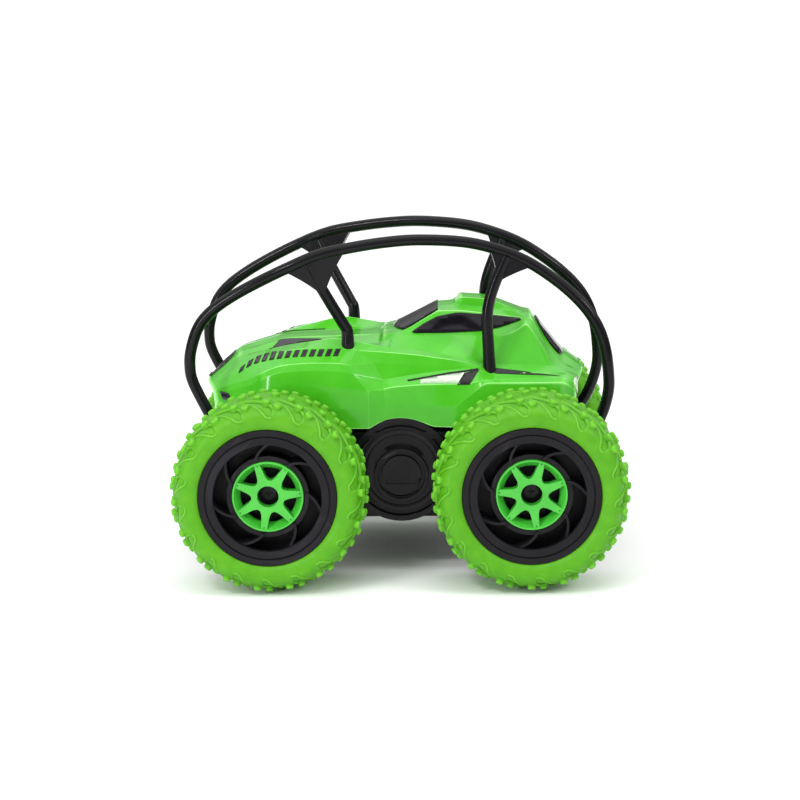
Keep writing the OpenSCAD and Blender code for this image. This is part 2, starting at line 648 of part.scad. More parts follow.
module circuit_board() color(board_green) {
    bar(8, 64, -22, 22, deck_top + 4, deck_top + 5.6);
    bar(20, 34, -7, 7, deck_top + 5.6, deck_top + 8);
    bar(44, 52, -14, 6, deck_top + 5.6, deck_top + 11);
    for (y = [-16, 14]) translate([14.5, y, deck_top + 5.6]) cylinder(r = 3, h = 8, $fn = 32);
}

// Leads from the motors, the switch and the battery up to the board
function lead(y) = [
    [-20.2, y, 62], [-23.5, y, 64], [-27, y * 0.95, 68], [-28, y * 0.9, 73], [-27, y * 0.85, 78],
    [-21, y * 0.8, 81.5], [-10, y * 0.8, 82.6], [2, y * 0.8, 81.8], [9.5, y * 0.8, 80.2]
];
module wiring() color(wire_red)
    for (y = [-12.5, -9.5, 9.5, 12.5]) tube(smooth(lead(y), 2), 0.7, 8);

module switch_housing() color(case_black) difference() {
    bar(switch_x - 8, switch_x + 8, -6, 6, tub_z + wall, tub_z + wall + 6);
    bar(switch_x - 5.5, switch_x + 5.5, -3.2, 3.2, tub_z + wall - 1, tub_z + wall + 4);
}

module switch_slider() color(gear_white) {
    bar(switch_x - 4.7, switch_x - 4.7 + 6, -2.3, 2.3, tub_z - 1.6, tub_z + wall + 0.4);
    bar(switch_x - 5.2, switch_x - 5.2 + 7, -2.9, 2.9, tub_z + wall + 0.3, tub_z + wall + 3);
}

module case_screws() color(steel) {
    at_posts(52.4) screw(24, 2.8);
    both_sides() outward(0, cover_face_y + 1.6, 0) at_cover_screws() mirror([0, 0, 1]) screw(18);
}

// ---------------------------------------------------------------- wheels

// Each wheel is drawn with local +Z outboard and Z = 0 at the tyre's mid-plane
module at_corner(s, e) on_side(s) outward(e * axle_x, mid_y, hub_z) children();

crown_r = wheel_r - 1.9;
side_r = 36;
bead_r = 31.3;
// A rounded half section: a superellipse about side_r
function oval(a, rad, half, n = 2.6) =
    [side_r + rad * pow(abs(cos(a)), 2 / n), half * sign(sin(a)) * pow(abs(sin(a)), 2 / n)];
tyre_outline = concat(
    [[bead_r, -16.2], [rim_r + 0.2, -16.4], [rim_r + 0.2, -20.3]],
    [for (a = [-90:9:90]) oval(a, crown_r - side_r, tyre_w / 2)],
    [[rim_r + 0.2, 20.3], [rim_r + 0.2, 16.4], [bead_r, 16.2], [bead_r + 2, 14.6]],
    [for (a = [72:-18:-72]) oval(a, crown_r - side_r - 2.4, tyre_w / 2 - 2.4)],
    [[bead_r + 2, -14.6]]
);

// Outward direction of that curve
function oval_normal(a, rad, half, n = 2.6) =
    unit([pow(abs(cos(a)), 2 - 2 / n) / rad, sign(a) * pow(abs(sin(a)), 2 - 2 / n) / half]);

// Nubs of one pitch: [angle round the section, share of a pitch past its start]
nub_rows = [[46, -0.15], [32, 0.2], [9.5, 0.5], [0, 0], [-9.5, 0.75], [-32, 0.45], [-46, 0.1]];
// Degrees that the tread's first pitch starts at: front wheels, rear wheels
tread_phase = [9, 12.8];
// Degrees that the first spoke stands at
spoke_phase = [5, 21];
nub_h = wheel_r - crown_r;
nub_root = 2;

module tyre(phase) color(tyre_green) {
    rotate_extrude($fn = 128) polygon(tyre_outline);
    for (row = nub_rows) {
        tip = oval(row[0], crown_r - side_r, tyre_w / 2)
            + nub_h * oval_normal(row[0], crown_r - side_r, tyre_w / 2);
        tilt = atan2(oval_normal(row[0], crown_r - side_r, tyre_w / 2)[1],
                     oval_normal(row[0], crown_r - side_r, tyre_w / 2)[0]);
        for (k = [0:pitches - 1])
            rotate([0, 0, phase + (k + row[1]) * 360 / pitches])
                translate([tip[0], 0, tip[1]]) rotate([0, 90 - tilt, 0])
                    translate([0, 0, -nub_h - nub_root])
                        cylinder(r = nub_r, h = nub_h + nub_root, $fn = 24);
    }
}

// A rim vane: it starts beside a spoke of the hub insert and sweeps round on its way to the barrel
vane_turn = -32;
vane_r = [insert_r + 0.7, 29];
vane_half = [0.7, 1.2];
vane_steps = 6;
function vane_edge(side) = [for (k = [0:vane_steps])
    let (t = k / vane_steps, r = vane_r[0] + (vane_r[1] - vane_r[0]) * t, a = vane_turn * pow(t, 1.3),
         w = side * (vane_half[0] + (vane_half[1] - vane_half[0]) * t))
    r * [cos(a), sin(a)] + w * [-sin(a), cos(a)]];
module vane() linear_extrude(11.6)
    polygon(concat(vane_edge(1), [for (k = [vane_steps:-1:0]) vane_edge(-1)[k]]));

// Heights that the rim and the hub insert share
rim_floor_z = 5.2;
seat_z = 9.6;
insert_face_z = 16;
collar_r = insert_r + 2.3;

module rim(phase) color(case_black) difference() {
    union() {
        ring(bead_r - 0.1, 28.8, -18.5, 17);
        ring(rim_r, 25.6, 16.4, 19.4, 128);
        ring(rim_r - 0.2, 28.8, -19.4, -17.4);
        ring(29.5, axle_r, 2.6, rim_floor_z);
        ring(6.2, axle_r, -20, rim_floor_z + 0.2);
        ring(collar_r, 14.6, rim_floor_z - 0.2, seat_z);
        ring(collar_r, insert_r + 0.15, seat_z - 0.1, 15.2);
        for (k = [0:spokes - 1]) rotate([0, 0, phase + k * 360 / spokes])
            translate([0, 0, rim_floor_z - 0.2]) vane();
    }
    ring(29.8, 29, 18.4, 20);
}

module spoke() linear_extrude(5.4) polygon([
    [6.6, -2.1], [insert_r - 0.55, -1.3], [insert_r - 0.55, 1.3], [6.6, 2.1]
]);

// The ring has a thin edge and a wall that slopes down towards the windows
module hub_insert(phase) color(body_green) {
    translate([0, 0, seat_z]) difference() {
        cylinder(r = insert_r, h = insert_face_z - seat_z, $fn = 96);
        translate([0, 0, -0.1])
            cylinder(r1 = 12.8, r2 = insert_r - 0.7, h = insert_face_z - seat_z + 0.2, $fn = 96);
    }
    ring(insert_hole_r + 2.6, insert_hole_r, seat_z, insert_face_z - 0.5);
    for (k = [0:spokes - 1]) rotate([0, 0, phase + k * 360 / spokes])
        translate([0, 0, seat_z + 0.3]) spoke();
}

module axle() color(steel) difference() {
    translate([0, 0, tub_half - wall - 0.5 - mid_y])
        cylinder(r = axle_r, h = 5.2 + mid_y - tub_half + wall + 0.5, $fn = 48);
    translate([0, 0, -4]) cylinder(r = 1.45, h = 12, $fn = 32);
}

module wheel_screw() color(black_steel) translate([0, 0, 7.4]) mirror([0, 0, 1]) screw(10, 3.4, 1.9);

// ---------------------------------------------------------------- nodes

chassis_tub();
chassis_deck();
body_shell();
windshield();
side_windows();
rear_window();
headlamps();
fog_lamps();
tail_lamps();
hood_vents();
gear_pins();
axle_bushes();
battery_pack();
battery_door();
door_screw();
circuit_board();
wiring();
switch_housing();
switch_slider();
case_screws();
for (s = SIDES) {
    gearbox_cover(s[1]);
    cage(s[1]);
    motor(s[1]);
    motor_rotor(s[1]);
    motor_pinion(s[1]);
    centre_gear(s[1]);
    for (e = ENDS) {
        place = str(e[0], "_", s[0]);
        idler(s[1], e[1]);
        axle_gear(s[1], e[1]);
        at_corner(s[1], e[1]) axle();
        at_corner(s[1], e[1])
            tyre(e[1] < 0 ? tread_phase[0] : tread_phase[1]);
        at_corner(s[1], e[1]) rim(e[1] < 0 ? spoke_phase[0] : spoke_phase[1]);
        at_corner(s[1], e[1]) hub_insert(e[1] < 0 ? spoke_phase[0] : spoke_phase[1]);
        at_corner(s[1], e[1]) wheel_screw();
    }
}
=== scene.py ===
import json
import math

import bmesh
import bpy
import numpy as np
from mathutils import Matrix, Vector
from mathutils.bvhtree import BVHTree

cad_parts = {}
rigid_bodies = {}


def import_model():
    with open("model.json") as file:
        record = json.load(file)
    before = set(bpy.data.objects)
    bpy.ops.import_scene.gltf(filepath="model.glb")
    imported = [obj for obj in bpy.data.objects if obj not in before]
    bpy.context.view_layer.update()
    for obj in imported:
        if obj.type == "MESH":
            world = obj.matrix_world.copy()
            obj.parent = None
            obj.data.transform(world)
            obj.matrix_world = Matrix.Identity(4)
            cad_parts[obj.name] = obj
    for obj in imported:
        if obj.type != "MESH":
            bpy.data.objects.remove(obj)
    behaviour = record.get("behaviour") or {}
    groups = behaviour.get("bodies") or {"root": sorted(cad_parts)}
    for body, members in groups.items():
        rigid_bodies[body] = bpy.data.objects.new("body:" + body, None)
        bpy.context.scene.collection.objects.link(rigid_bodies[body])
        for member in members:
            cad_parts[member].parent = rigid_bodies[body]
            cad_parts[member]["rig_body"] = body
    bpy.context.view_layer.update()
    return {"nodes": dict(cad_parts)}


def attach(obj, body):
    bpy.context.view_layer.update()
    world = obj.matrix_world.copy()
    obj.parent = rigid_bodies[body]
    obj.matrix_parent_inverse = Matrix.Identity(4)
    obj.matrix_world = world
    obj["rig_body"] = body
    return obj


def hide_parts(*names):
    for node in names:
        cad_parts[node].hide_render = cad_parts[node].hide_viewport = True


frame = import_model()
MM = 0.001
SIDES = {"left": -1, "right": 1}
ENDS = {"front": -1, "rear": 1}

# Middles of the wheels: distance along the car, height and distance out; height of the gearbox bosses
AXLE_X = 62.0
HUB_Z = 47.5
WHEEL_Y = 78.5
BOSS_Z = 50.4

# ------------------------------------------------------------------ materials


# How far the surface bends (0.5 is flat) where the painted highlight on an edge and the painted shade
# in a hollow start and end to show
EDGE_HIGHLIGHT_BEND = (0.53, 0.62)
HOLLOW_SHADE_BEND = (0.492, 0.455)


def linear(colour):
    """A display colour of 0 to 255 as the linear colour that shaders use."""
    parts = [c / 255 for c in colour]
    return [p / 12.92 if p <= 0.04045 else ((p + 0.055) / 1.055) ** 2.4 for p in parts] + [1.0]


def finish(name, low, high, rough, **more):
    """A moulded or machined finish: two tints mixed by slow noise, uneven roughness, fine grain,
    and an optional painted highlight on outer edges and painted shade in hollows."""
    material = bpy.data.materials.new(name)
    material.use_nodes = True
    tree = material.node_tree
    tree.nodes.clear()

    def add(kind, **values):
        node = tree.nodes.new(kind)
        for key, value in values.items():
            node.inputs[key.replace("_", " ")].default_value = value
        return node

    def noise(scale, detail):
        node = add("ShaderNodeTexNoise", Scale=scale, Detail=detail)
        mapping = add("ShaderNodeMapping", Scale=more.get("stretch", (1, 1, 1)))
        tree.links.new(coord.outputs["Object"], mapping.inputs["Vector"])
        tree.links.new(mapping.outputs["Vector"], node.inputs["Vector"])
        return node

    coord = tree.nodes.new("ShaderNodeTexCoord")
    shader = tree.nodes.new("ShaderNodeBsdfPrincipled")
    out = tree.nodes.new("ShaderNodeOutputMaterial")
    tree.links.new(shader.outputs["BSDF"], out.inputs["Surface"])
    for key, value in more.get("shader", {}).items():
        shader.inputs[key].default_value = value

    ramp = tree.nodes.new("ShaderNodeValToRGB")
    ramp.color_ramp.elements[0].position = 0.32
    ramp.color_ramp.elements[0].color = linear(low)
    ramp.color_ramp.elements[1].position = 0.68
    ramp.color_ramp.elements[1].color = linear(high)
    tree.links.new(noise(more.get("mottle", 90), 5).outputs["Fac"], ramp.inputs["Fac"])
    colour = ramp.outputs["Color"]
    # Painted highlight along sharp outer edges and painted shade in hollows: colour lightened or
    # darkened where the surface bends
    for key, bend in (("edge", more.get("edge_bend", EDGE_HIGHLIGHT_BEND)), ("hollow", HOLLOW_SHADE_BEND)):
        if key in more:
            geometry = tree.nodes.new("ShaderNodeNewGeometry")
            span = add("ShaderNodeMapRange", From_Min=bend[0], From_Max=bend[1])
            tree.links.new(geometry.outputs["Pointiness"], span.inputs["Value"])
            blend = tree.nodes.new("ShaderNodeMix")
            blend.data_type = "RGBA"
            tree.links.new(span.outputs["Result"], blend.inputs["Factor"])
            tree.links.new(colour, blend.inputs["A"])
            blend.inputs["B"].default_value = linear(more[key])
            colour = blend.outputs["Result"]
    tree.links.new(colour, shader.inputs["Base Color"])

    spread = add("ShaderNodeMapRange", To_Min=rough[0], To_Max=rough[1], From_Min=0.3, From_Max=0.7)
    tree.links.new(noise(240, 6).outputs["Fac"], spread.inputs["Value"])
    tree.links.new(spread.outputs["Result"], shader.inputs["Roughness"])

    bump = add("ShaderNodeBump", Strength=more.get("bump", 0.15), Distance=0.0002)
    tree.links.new(noise(more.get("grain", 2600), 3).outputs["Fac"], bump.inputs["Height"])
    tree.links.new(bump.outputs["Normal"], shader.inputs["Normal"])
    return material


BRUSHED = (1, 0.08, 1)
MATERIALS = {
    # Body: the edge colour is a painted highlight along its creases and edges
    "body_green": finish("body_green", (66, 172, 28), (74, 180, 34), (0.14, 0.24), bump=0.04,
                         grain=900, edge=(150, 232, 122), edge_bend=(0.504, 0.53),
                         shader={"Specular IOR Level": 0.15, "Coat Weight": 0.3,
                                 "Coat Roughness": 0.03}),
    # Tyre: the edge colour is a painted highlight on ridges and edges, the hollow colour is painted
    # shade in the lug hollows and grooves
    "tyre_rubber": finish("tyre_rubber", (74, 150, 13), (84, 160, 19), (0.38, 0.54), bump=0.3,
                          mottle=160, edge=(106, 187, 42), edge_bend=(0.512, 0.58),
                          hollow=(40, 100, 8),
                          shader={"Specular IOR Level": 0.25}),
    # Rim: the edge colour is a painted highlight along its edges
    "rim_plastic": finish("rim_plastic", (19, 17, 21), (25, 23, 27), (0.34, 0.46), bump=0.3,
                          edge=(34, 32, 37), shader={"Specular IOR Level": 0.16}),
    "hub_green": finish("hub_green", (58, 170, 48), (70, 184, 58), (0.26, 0.4), bump=0.15),
    "screw_steel": finish("screw_steel", (160, 160, 162), (190, 190, 192), (0.25, 0.42), bump=0.2,
                          shader={"Metallic": 1.0}),
    "gear_plastic": finish("gear_plastic", (224, 222, 208), (236, 234, 224), (0.4, 0.55), bump=0.2),
    "brass": finish("brass", (190, 150, 84), (214, 176, 104), (0.22, 0.36), stretch=BRUSHED,
                    shader={"Metallic": 1.0}),
    "shaft_steel": finish("shaft_steel", (178, 178, 180), (200, 200, 202), (0.18, 0.3),
                          stretch=BRUSHED, shader={"Metallic": 1.0}),
    "motor_can": finish("motor_can", (168, 168, 168), (192, 192, 192), (0.24, 0.38),
                        stretch=BRUSHED, shader={"Metallic": 1.0}),
    # Cage: the edge colour is a painted highlight along the tube and gusset edges
    "cage_plastic": finish("cage_plastic", (12, 11, 14), (17, 16, 19), (0.12, 0.2), bump=0.1,
                           edge=(30, 29, 32), shader={"Specular IOR Level": 0.17}),
    # Wheel screws: near black as painted shade for the deep hub holes they sit in
    "screw_black": finish("screw_black", (30, 29, 31), (40, 39, 41), (0.4, 0.55), bump=0.2,
                          shader={"Metallic": 0.6}),
    "window_dark": finish("window_dark", (16, 13, 19), (22, 18, 24), (0.07, 0.14), bump=0.02,
                          grain=500, shader={"Specular IOR Level": 0.12}),
    "trim_dark": finish("trim_dark", (26, 24, 29), (34, 31, 37), (0.16, 0.28), bump=0.06,
                        shader={"Specular IOR Level": 0.25}),
    "lamp_clear": finish("lamp_clear", (186, 206, 178), (202, 218, 194), (0.06, 0.14), bump=0.05,
                       grain=700, shader={"Coat Weight": 0.6}),
    "battery_wrap": finish("battery_wrap", (34, 70, 150), (44, 82, 164), (0.24, 0.36), bump=0.12),
    "board": finish("board", (20, 92, 52), (28, 106, 60), (0.34, 0.48), bump=0.25),
    "wire": finish("wire", (176, 34, 26), (192, 44, 34), (0.3, 0.42), bump=0.1),
    "switch_knob": finish("switch_knob", (222, 222, 218), (234, 234, 230), (0.36, 0.5), bump=0.2),
    # Chassis: the edge colour is a painted highlight on the steps and edges
    "chassis_plastic": finish("chassis_plastic", (13, 10, 14), (19, 16, 20), (0.14, 0.22), bump=0.2,
                              edge=(60, 57, 62), shader={"Specular IOR Level": 0.15}),
    "print_dark": finish("print_dark", (24, 21, 26), (32, 28, 34), (0.2, 0.32), bump=0.05,
                         shader={"Specular IOR Level": 0.25}),
    "print_silver": finish("print_silver", (176, 204, 168), (196, 218, 190), (0.16, 0.3), bump=0.1,
                           mottle=500, shader={"Metallic": 0.3}),
}

# ------------------------------------------------------------------ mesh helpers


def shown(name, data, slot, body, nodes=()):
    """A mesh as a finished piece: in the scene, painted, riding on its body."""
    obj = bpy.data.objects.new(name, data)
    bpy.context.scene.collection.objects.link(obj)
    data.materials.clear()
    data.materials.append(MATERIALS[slot])
    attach(obj, body)
    if nodes:
        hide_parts(*nodes)
    return obj


def mesh_of(name, points, faces, sharp):
    """A smooth-shaded mesh from points in millimetres, with creases shown past a given angle."""
    data = bpy.data.meshes.new(name)
    data.from_pydata([[c * MM for c in p] for p in points], [], faces)
    data.update()
    data.shade_smooth()
    data.set_sharp_from_angle(angle=math.radians(sharp))
    return data


def facing_out(data):
    """Turns every face of a mesh outwards."""
    bm = bmesh.new()
    bm.from_mesh(data)
    bmesh.ops.recalc_face_normals(bm, faces=bm.faces)
    bm.to_mesh(data)
    bm.free()


def circle(n):
    """Unit directions evenly round a circle."""
    return [(math.cos(2 * math.pi * k / n), math.sin(2 * math.pi * k / n)) for k in range(n)]


def bevelled(obj, width, segments=2, angle=35):
    """Rounds the edges sharper than an angle."""
    mod = obj.modifiers.new("edge", "BEVEL")
    mod.width = width * MM
    mod.segments = segments
    mod.limit_method = "ANGLE"
    mod.angle_limit = math.radians(angle)


def walled(obj, thick, offset):
    """Gives a sheet a wall: inwards for an offset of -1, to both sides for 0."""
    wall = obj.modifiers.new("wall", "SOLIDIFY")
    wall.thickness = thick * MM
    wall.offset = offset


def refined(node, slot, width):
    """A CAD node rebuilt with its flat faces joined and its sharp edges rounded."""
    data = frame["nodes"][node].data.copy()
    bm = bmesh.new()
    bm.from_mesh(data)
    bmesh.ops.remove_doubles(bm, verts=bm.verts, dist=0.02 * MM)
    bmesh.ops.dissolve_limit(bm, angle_limit=math.radians(1), verts=bm.verts, edges=bm.edges)
    bm.to_mesh(data)
    bm.free()
    data.shade_smooth()
    data.set_sharp_from_angle(angle=math.radians(32))
    body = frame["nodes"][node]["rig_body"]
    bevelled(shown(node + "_finished", data, slot, body, [node]), width)


def along(points, steps):
    """A smooth curve through given points (Catmull-Rom)."""
    p = [Vector(q) for q in points]
    p = [2 * p[0] - p[1]] + p + [2 * p[-1] - p[-2]]
    made = []
    for i in range(1, len(p) - 2):
        a, b, c, d = p[i - 1:i + 3]
        for k in range(steps):
            t = k / steps
            made.append(0.5 * (2 * b + (c - a) * t + (2 * a - 5 * b + 4 * c - d) * t * t
                               + (3 * b - a - 3 * c + d) * t ** 3))
    return made + [p[-2]]


# ------------------------------------------------------------------ body shell

# Character lines of the body, from the centre line out to the sill
LINES = [
    [(-98.5, 0, 88), (-90, 0, 97), (-82, 0, 103.6), (-70, 0, 107.6), (-58, 0, 110),
     (-35, 0, 110.5), (-11, 0, 111.6), (-8.5, 0, 113.4), (-4, 0, 114), (18, 0, 125.2), (26.5, 0, 126),
     (45, 0, 125), (64.5, 0, 121), (70, 0, 114), (80, 0, 101.5), (84, 0, 99.4), (91, 0, 94)],
    [(-98.5, 5, 88), (-82, 7, 103.4), (-58, 8.5, 109.8), (-11, 9, 111.4), (-8.5, 9, 113.2),
     (-4, 9, 113.8), (18, 8.5, 125), (26.5, 8.5, 125.8), (45, 8.5, 124.8), (64.5, 8.5, 120.8),
     (80, 9, 101.2), (84, 9, 99.2), (91, 9, 94)],
    [(-98.5, 8, 88), (-82, 10, 103.3), (-58, 11, 109.6), (-11, 12, 111), (-8.5, 12, 112.9),
     (-4, 12, 113.6), (18, 10.5, 124.8), (26.5, 10.5, 125.6), (45, 10.5, 124.6),
     (64.5, 10.5, 120.6), (80, 12, 101), (84, 12, 99), (91, 12, 93.9)],
    [(-98.5, 12, 88), (-82, 13, 103.1), (-60, 13.4, 109.5), (-50, 14.6, 109.7), (-40, 16.5, 109.8),
     (-32, 18, 109.8), (-11, 20, 110.2),
     (-8.5, 20.5, 112.4), (1.5, 22, 114.6), (18.5, 18.5, 124.2), (30, 19, 124.2), (60, 18.5, 120.4),
     (65, 17.8, 119.8), (73, 22, 105.5), (80, 23, 98.8), (91, 22, 93.6)],
    [(-98.5, 14.5, 88), (-82, 17.8, 102.2), (-70, 19.4, 105), (-60, 21, 107), (-50, 22.6, 107.7),
     (-40, 25, 108.2), (-32, 27, 108.6), (-11, 27.5, 109.4),
     (-7, 27.5, 111.4), (1.6, 27, 112.9), (7, 26.5, 113.4), (40, 28, 113), (46, 29, 111.4),
     (54, 27.6, 114), (58, 26, 115.4), (62, 23.5, 118.4), (65, 25.5, 114.8), (68, 27, 109.9),
     (72.6, 28.6, 103.2), (76, 29.4, 98.9), (84, 27.5, 96.8), (91, 26, 93.2)],
    [(-98.5, 18, 87.6), (-90, 20, 95.4), (-82, 21.5, 101.4), (-70, 23, 105.3), (-60, 25, 107.9),
     (-52, 28, 109.7), (-46, 31, 111), (-39, 33.8, 112.4), (-32, 35.6, 113.7), (-26, 36.8, 112.8),
     (-12, 38, 110), (3, 38.8, 108.3),
     (10, 39, 107.4), (16, 39.4, 106.3), (24, 40.2, 104.9), (32, 41, 103.3), (38, 39.5, 101),
     (45, 36.5, 99.6), (60, 34.5, 99.2), (78, 32, 97.9), (84, 31.6, 95.9), (91, 30.5, 92.7)],
    [(-98.5, 22, 87.2), (-90, 28, 93.8), (-82, 33, 98.6), (-70, 36.5, 103.2), (-60, 39, 107),
     (-52, 41, 109), (-39, 42.6, 110), (-26, 43.6, 109.4), (-21.6, 43.4, 108.8),
     (-20.7, 43.4, 108.4), (-12, 43.6, 108), (3, 44, 106.7), (10, 44.2, 106), (16, 44.4, 104.9),
     (24, 44.2, 103.8), (32, 43.6, 102.2), (38, 43, 100), (45, 42, 97.5), (60, 41, 97),
     (86, 37, 95.5), (91, 34.4, 92.3)],
    [(-98.5, 26, 86), (-90, 35, 90.8), (-82, 43, 94.5), (-72, 49.3, 99), (-58, 51, 102.6),
     (-45, 51.5, 103.8), (-30, 51, 103.6), (-24, 50, 102.2), (-13.2, 45.2, 102.9),
     (-8, 45.3, 102), (3, 45.2, 101.6), (16, 45, 101.5), (33, 44.2, 100.8), (38, 44.2, 99),
     (43, 44, 96.8), (60, 43, 96.2), (86, 41, 95.2), (91, 37, 91.8)],
    [(-98.5, 27, 84.4), (-90, 37.4, 88.6), (-82, 45.6, 92), (-72, 50.8, 96.4), (-58, 52.4, 99.6),
     (-45, 52.8, 100.4), (-30, 52.4, 100), (-23, 51.4, 98.5), (-8.5, 46.6, 94.4), (3, 46, 96.4),
     (15, 45.4, 98), (33, 44.6, 99.6), (38, 44.8, 98.2), (43, 45.6, 96), (60, 44.8, 95.6),
     (86, 43, 94.8), (91, 39, 90.8)],
    [(-98.5, 28, 82), (-90, 39.6, 84.6), (-82, 47.6, 87), (-72, 52, 90.6), (-58, 53.4, 93),
     (-45, 53.6, 93.4), (-30, 53.4, 92.6), (-15.4, 52.4, 90), (-8.4, 50, 90.2),
     (-5, 50.1, 91.4), (10, 50.2, 92.6), (33, 50.5, 92.8), (41, 50.2, 94.6), (60, 48, 95),
     (86, 45.5, 94.4), (91, 41, 89.6)],
    [(-98.5, 29, 79), (-90, 41, 79.6), (-82, 49, 80.4), (-72, 53, 81), (-58, 54, 81.4),
     (-30, 54, 81.4), (-15.4, 52.6, 81), (-7.5, 50.3, 81.6), (12, 50.6, 81.6), (26.5, 52.4, 81.8),
     (41, 51.6, 93.4), (60, 51.4, 93.4), (86, 49, 93), (91, 43, 86.6)],
    [(-98.5, 28, 75.5), (-90, 40.5, 73), (-82, 48.5, 71.8), (-72, 52.8, 71.4), (-58, 53.8, 71.4),
     (-15.4, 52.6, 71.4), (-7.5, 50.3, 71.4), (20, 50.6, 71.6), (27, 52.6, 71.6),
     (60, 52.8, 71.6), (82, 50, 72.2), (91, 43.5, 78)],
]
LAST = len(LINES) - 1
STATIONS = [
    -98.5, -94, -90, -86, -82, -77, -72, -65, -58, -52, -45, -39, -32, -27, -23, -22, -21, -17,
    -13, -12, -11, -8.5, -4, 0, 4, 8, 12, 16, 18.5, 22, 26.5, 29.3, 33, 38, 41, 45, 50, 54,
    57, 60, 62, 64.5, 67, 70, 73, 76, 80, 84, 88, 91,
]
# The step behind the front wheel: its two stations, and where they cross each character line
STEP = (-22, -12)
STEP_AT = {6: (-21.6, -20.7), 7: (-24, -13.2), 8: (-23, -8.5), 9: (-15.4, -8.4),
           10: (-15.4, -7.5), 11: (-15.4, -7.5)}
# How sharp the character lines are: line, from x, to x, sharpness; then the edges of the step and
# of the nose and tail ends
LINE_CREASES = [(1, -82, 84, 0.8), (2, -82, 84, 0.6), (3, -82, 84, 0.75), (4, -82, -12, 0.4),
                (4, -12, 84, 0.75), (5, -82, -12, 0.6), (5, -12, 84, 0.5), (6, -21, 40, 0.9),
                (7, -80, -22, 0.45), (8, -12, 84, 0.8), (9, -12, 84, 0.85), (10, 26, 86, 0.7)]
STEP_CREASE = 0.95
END_CREASE = 0.6
# Edges that run across the body: at x, from the centre out to a line, sharpness
CROSS_CREASES = [(26.5, 1, 0.8), (29.3, 1, 0.8), (-11, 4, 0.7), (-8.5, 4, 0.7), (64.5, 3, 0.7),
                 (18.5, 3, 0.4), (-82, 4, 0.4), (80, 3, 0.5)]
# The sill arches over the gearbox boss
ARCH_R = 25.8
# Grooves that run along the body: character position, from x, to x, depth
GROOVES = [(1.5, -57, -16, 0.9), (6.5, 45, 76, 0.8)]
GROOVE_HALF = 0.1
# The scoop on the roof, over the two innermost lines: height added at each x
SCOOP_X = (26.5, 29.3, 42, 61)
SCOOP_RISE = (0, 3.8, 3.496, 0)
SHELL_WALL = 1.6
# How far the body is swept back at HALF_WIDTH from the centre line, at each x
HALF_WIDTH = 50
SWEEP_X = (-98, -60, 70, 91)
SWEEP = (17, 0, 0, -7)


def swept(x, y):
    """Nose and tail are rounded in plan."""
    return x + np.interp(x, SWEEP_X, SWEEP) * (y / HALF_WIDTH) ** 2


def line_point(j, x):
    if j in STEP_AT:
        x = np.interp(x, (-32, *STEP, 0), (-32, *STEP_AT[j], 0)) if -32 < x < 0 else x
    xs, ys, zs = zip(*LINES[j])
    y = np.interp(x, xs, ys)
    z = np.interp(x, xs, zs)
    if j <= 1:
        z += np.interp(x, SCOOP_X, SCOOP_RISE)
    if j == LAST and abs(x) < ARCH_R:
        z = max(z, BOSS_Z + math.sqrt(ARCH_R ** 2 - x ** 2))
    return Vector((swept(x, y), y, z))


def body_point(x, s):
    """A point of the body, s counting the character lines from the centre out."""
    j = min(int(s), LAST - 1)
    p = line_point(j, x).lerp(line_point(j + 1, x), s - j)
    for at, x0, x1, depth in GROOVES:
        if abs(s - at) < 0.01 and x0 < x < x1:
            p.z -= depth
    return p


def body_columns():
    """Where the mesh runs along the body: on each line, close to it, and beside each groove."""
    columns = [j + t for j in range(LAST) for t in (0, 0.12, 0.88)] + [LAST]
    for at, *_ in GROOVES:
        columns += [at - GROOVE_HALF, at, at + GROOVE_HALF]
    return sorted(columns)


def body_shell():
    """The shell: the character lines as a creased, subdivided surface with a wall."""
    columns = body_columns()
    half = len(columns) - 1
    rows = []
    for x in STATIONS:
        right = [body_point(x, s) for s in columns]
        left = [Vector((p.x, -p.y, p.z)) for p in right[:0:-1]]
        rows.append(left + right)
    m = len(rows[0])
    points = [p for row in rows for p in row]
    faces = []
    for i in range(len(rows) - 1):
        for j in range(m - 1):
            faces.append((i * m + j, (i + 1) * m + j, (i + 1) * m + j + 1, i * m + j + 1))
    for start, turn in ((0, 1), ((len(rows) - 1) * m, -1)):
        for k in range(half):
            ring = [start + k, start + k + 1, start + m - 2 - k, start + m - 1 - k]
            ring = list(dict.fromkeys(ring))
            faces.append(ring[::turn])
    data = mesh_of("body_shell_finished", points, faces, 180)
    bm = bmesh.new()
    bm.from_mesh(data)
    bmesh.ops.recalc_face_normals(bm, faces=bm.faces)
    if sum(f.normal.z * f.calc_area() for f in bm.faces) < 0:
        bmesh.ops.reverse_faces(bm, faces=bm.faces)
    crease = bm.edges.layers.float.new("crease_edge")
    ends = (STATIONS[0], STATIONS[-1])
    across = columns[:0:-1] + columns
    for e in bm.edges:
        a, b = (v.index for v in e.verts)
        x = STATIONS[a // m]
        if a // m != b // m:
            e[crease] = sum(c for line, x0, x1, c in LINE_CREASES
                            if line == across[a % m] and x0 <= x < x1)
        elif x in ends and abs(a - b) == 1:
            e[crease] = END_CREASE
        elif x in STEP and min(across[a % m], across[b % m]) >= min(STEP_AT):
            e[crease] = STEP_CREASE
        else:
            e[crease] = sum(c for at, line, c in CROSS_CREASES
                            if at == x and max(across[a % m], across[b % m]) <= line)
    bm.to_mesh(data)
    bm.free()
    obj = shown("body_shell_finished", data, "body_green", "chassis", ["body_shell"])
    smooth = obj.modifiers.new("smooth", "SUBSURF")
    smooth.levels = smooth.render_levels = 2
    walled(obj, SHELL_WALL, -1)
    return obj


shell = body_shell()
bpy.context.view_layer.update()
SURFACE = BVHTree.FromObject(shell, bpy.context.evaluated_depsgraph_get())


# Where the finders look from, clear of the body
SIDE_EYE = 150
TOP_EYE = 200


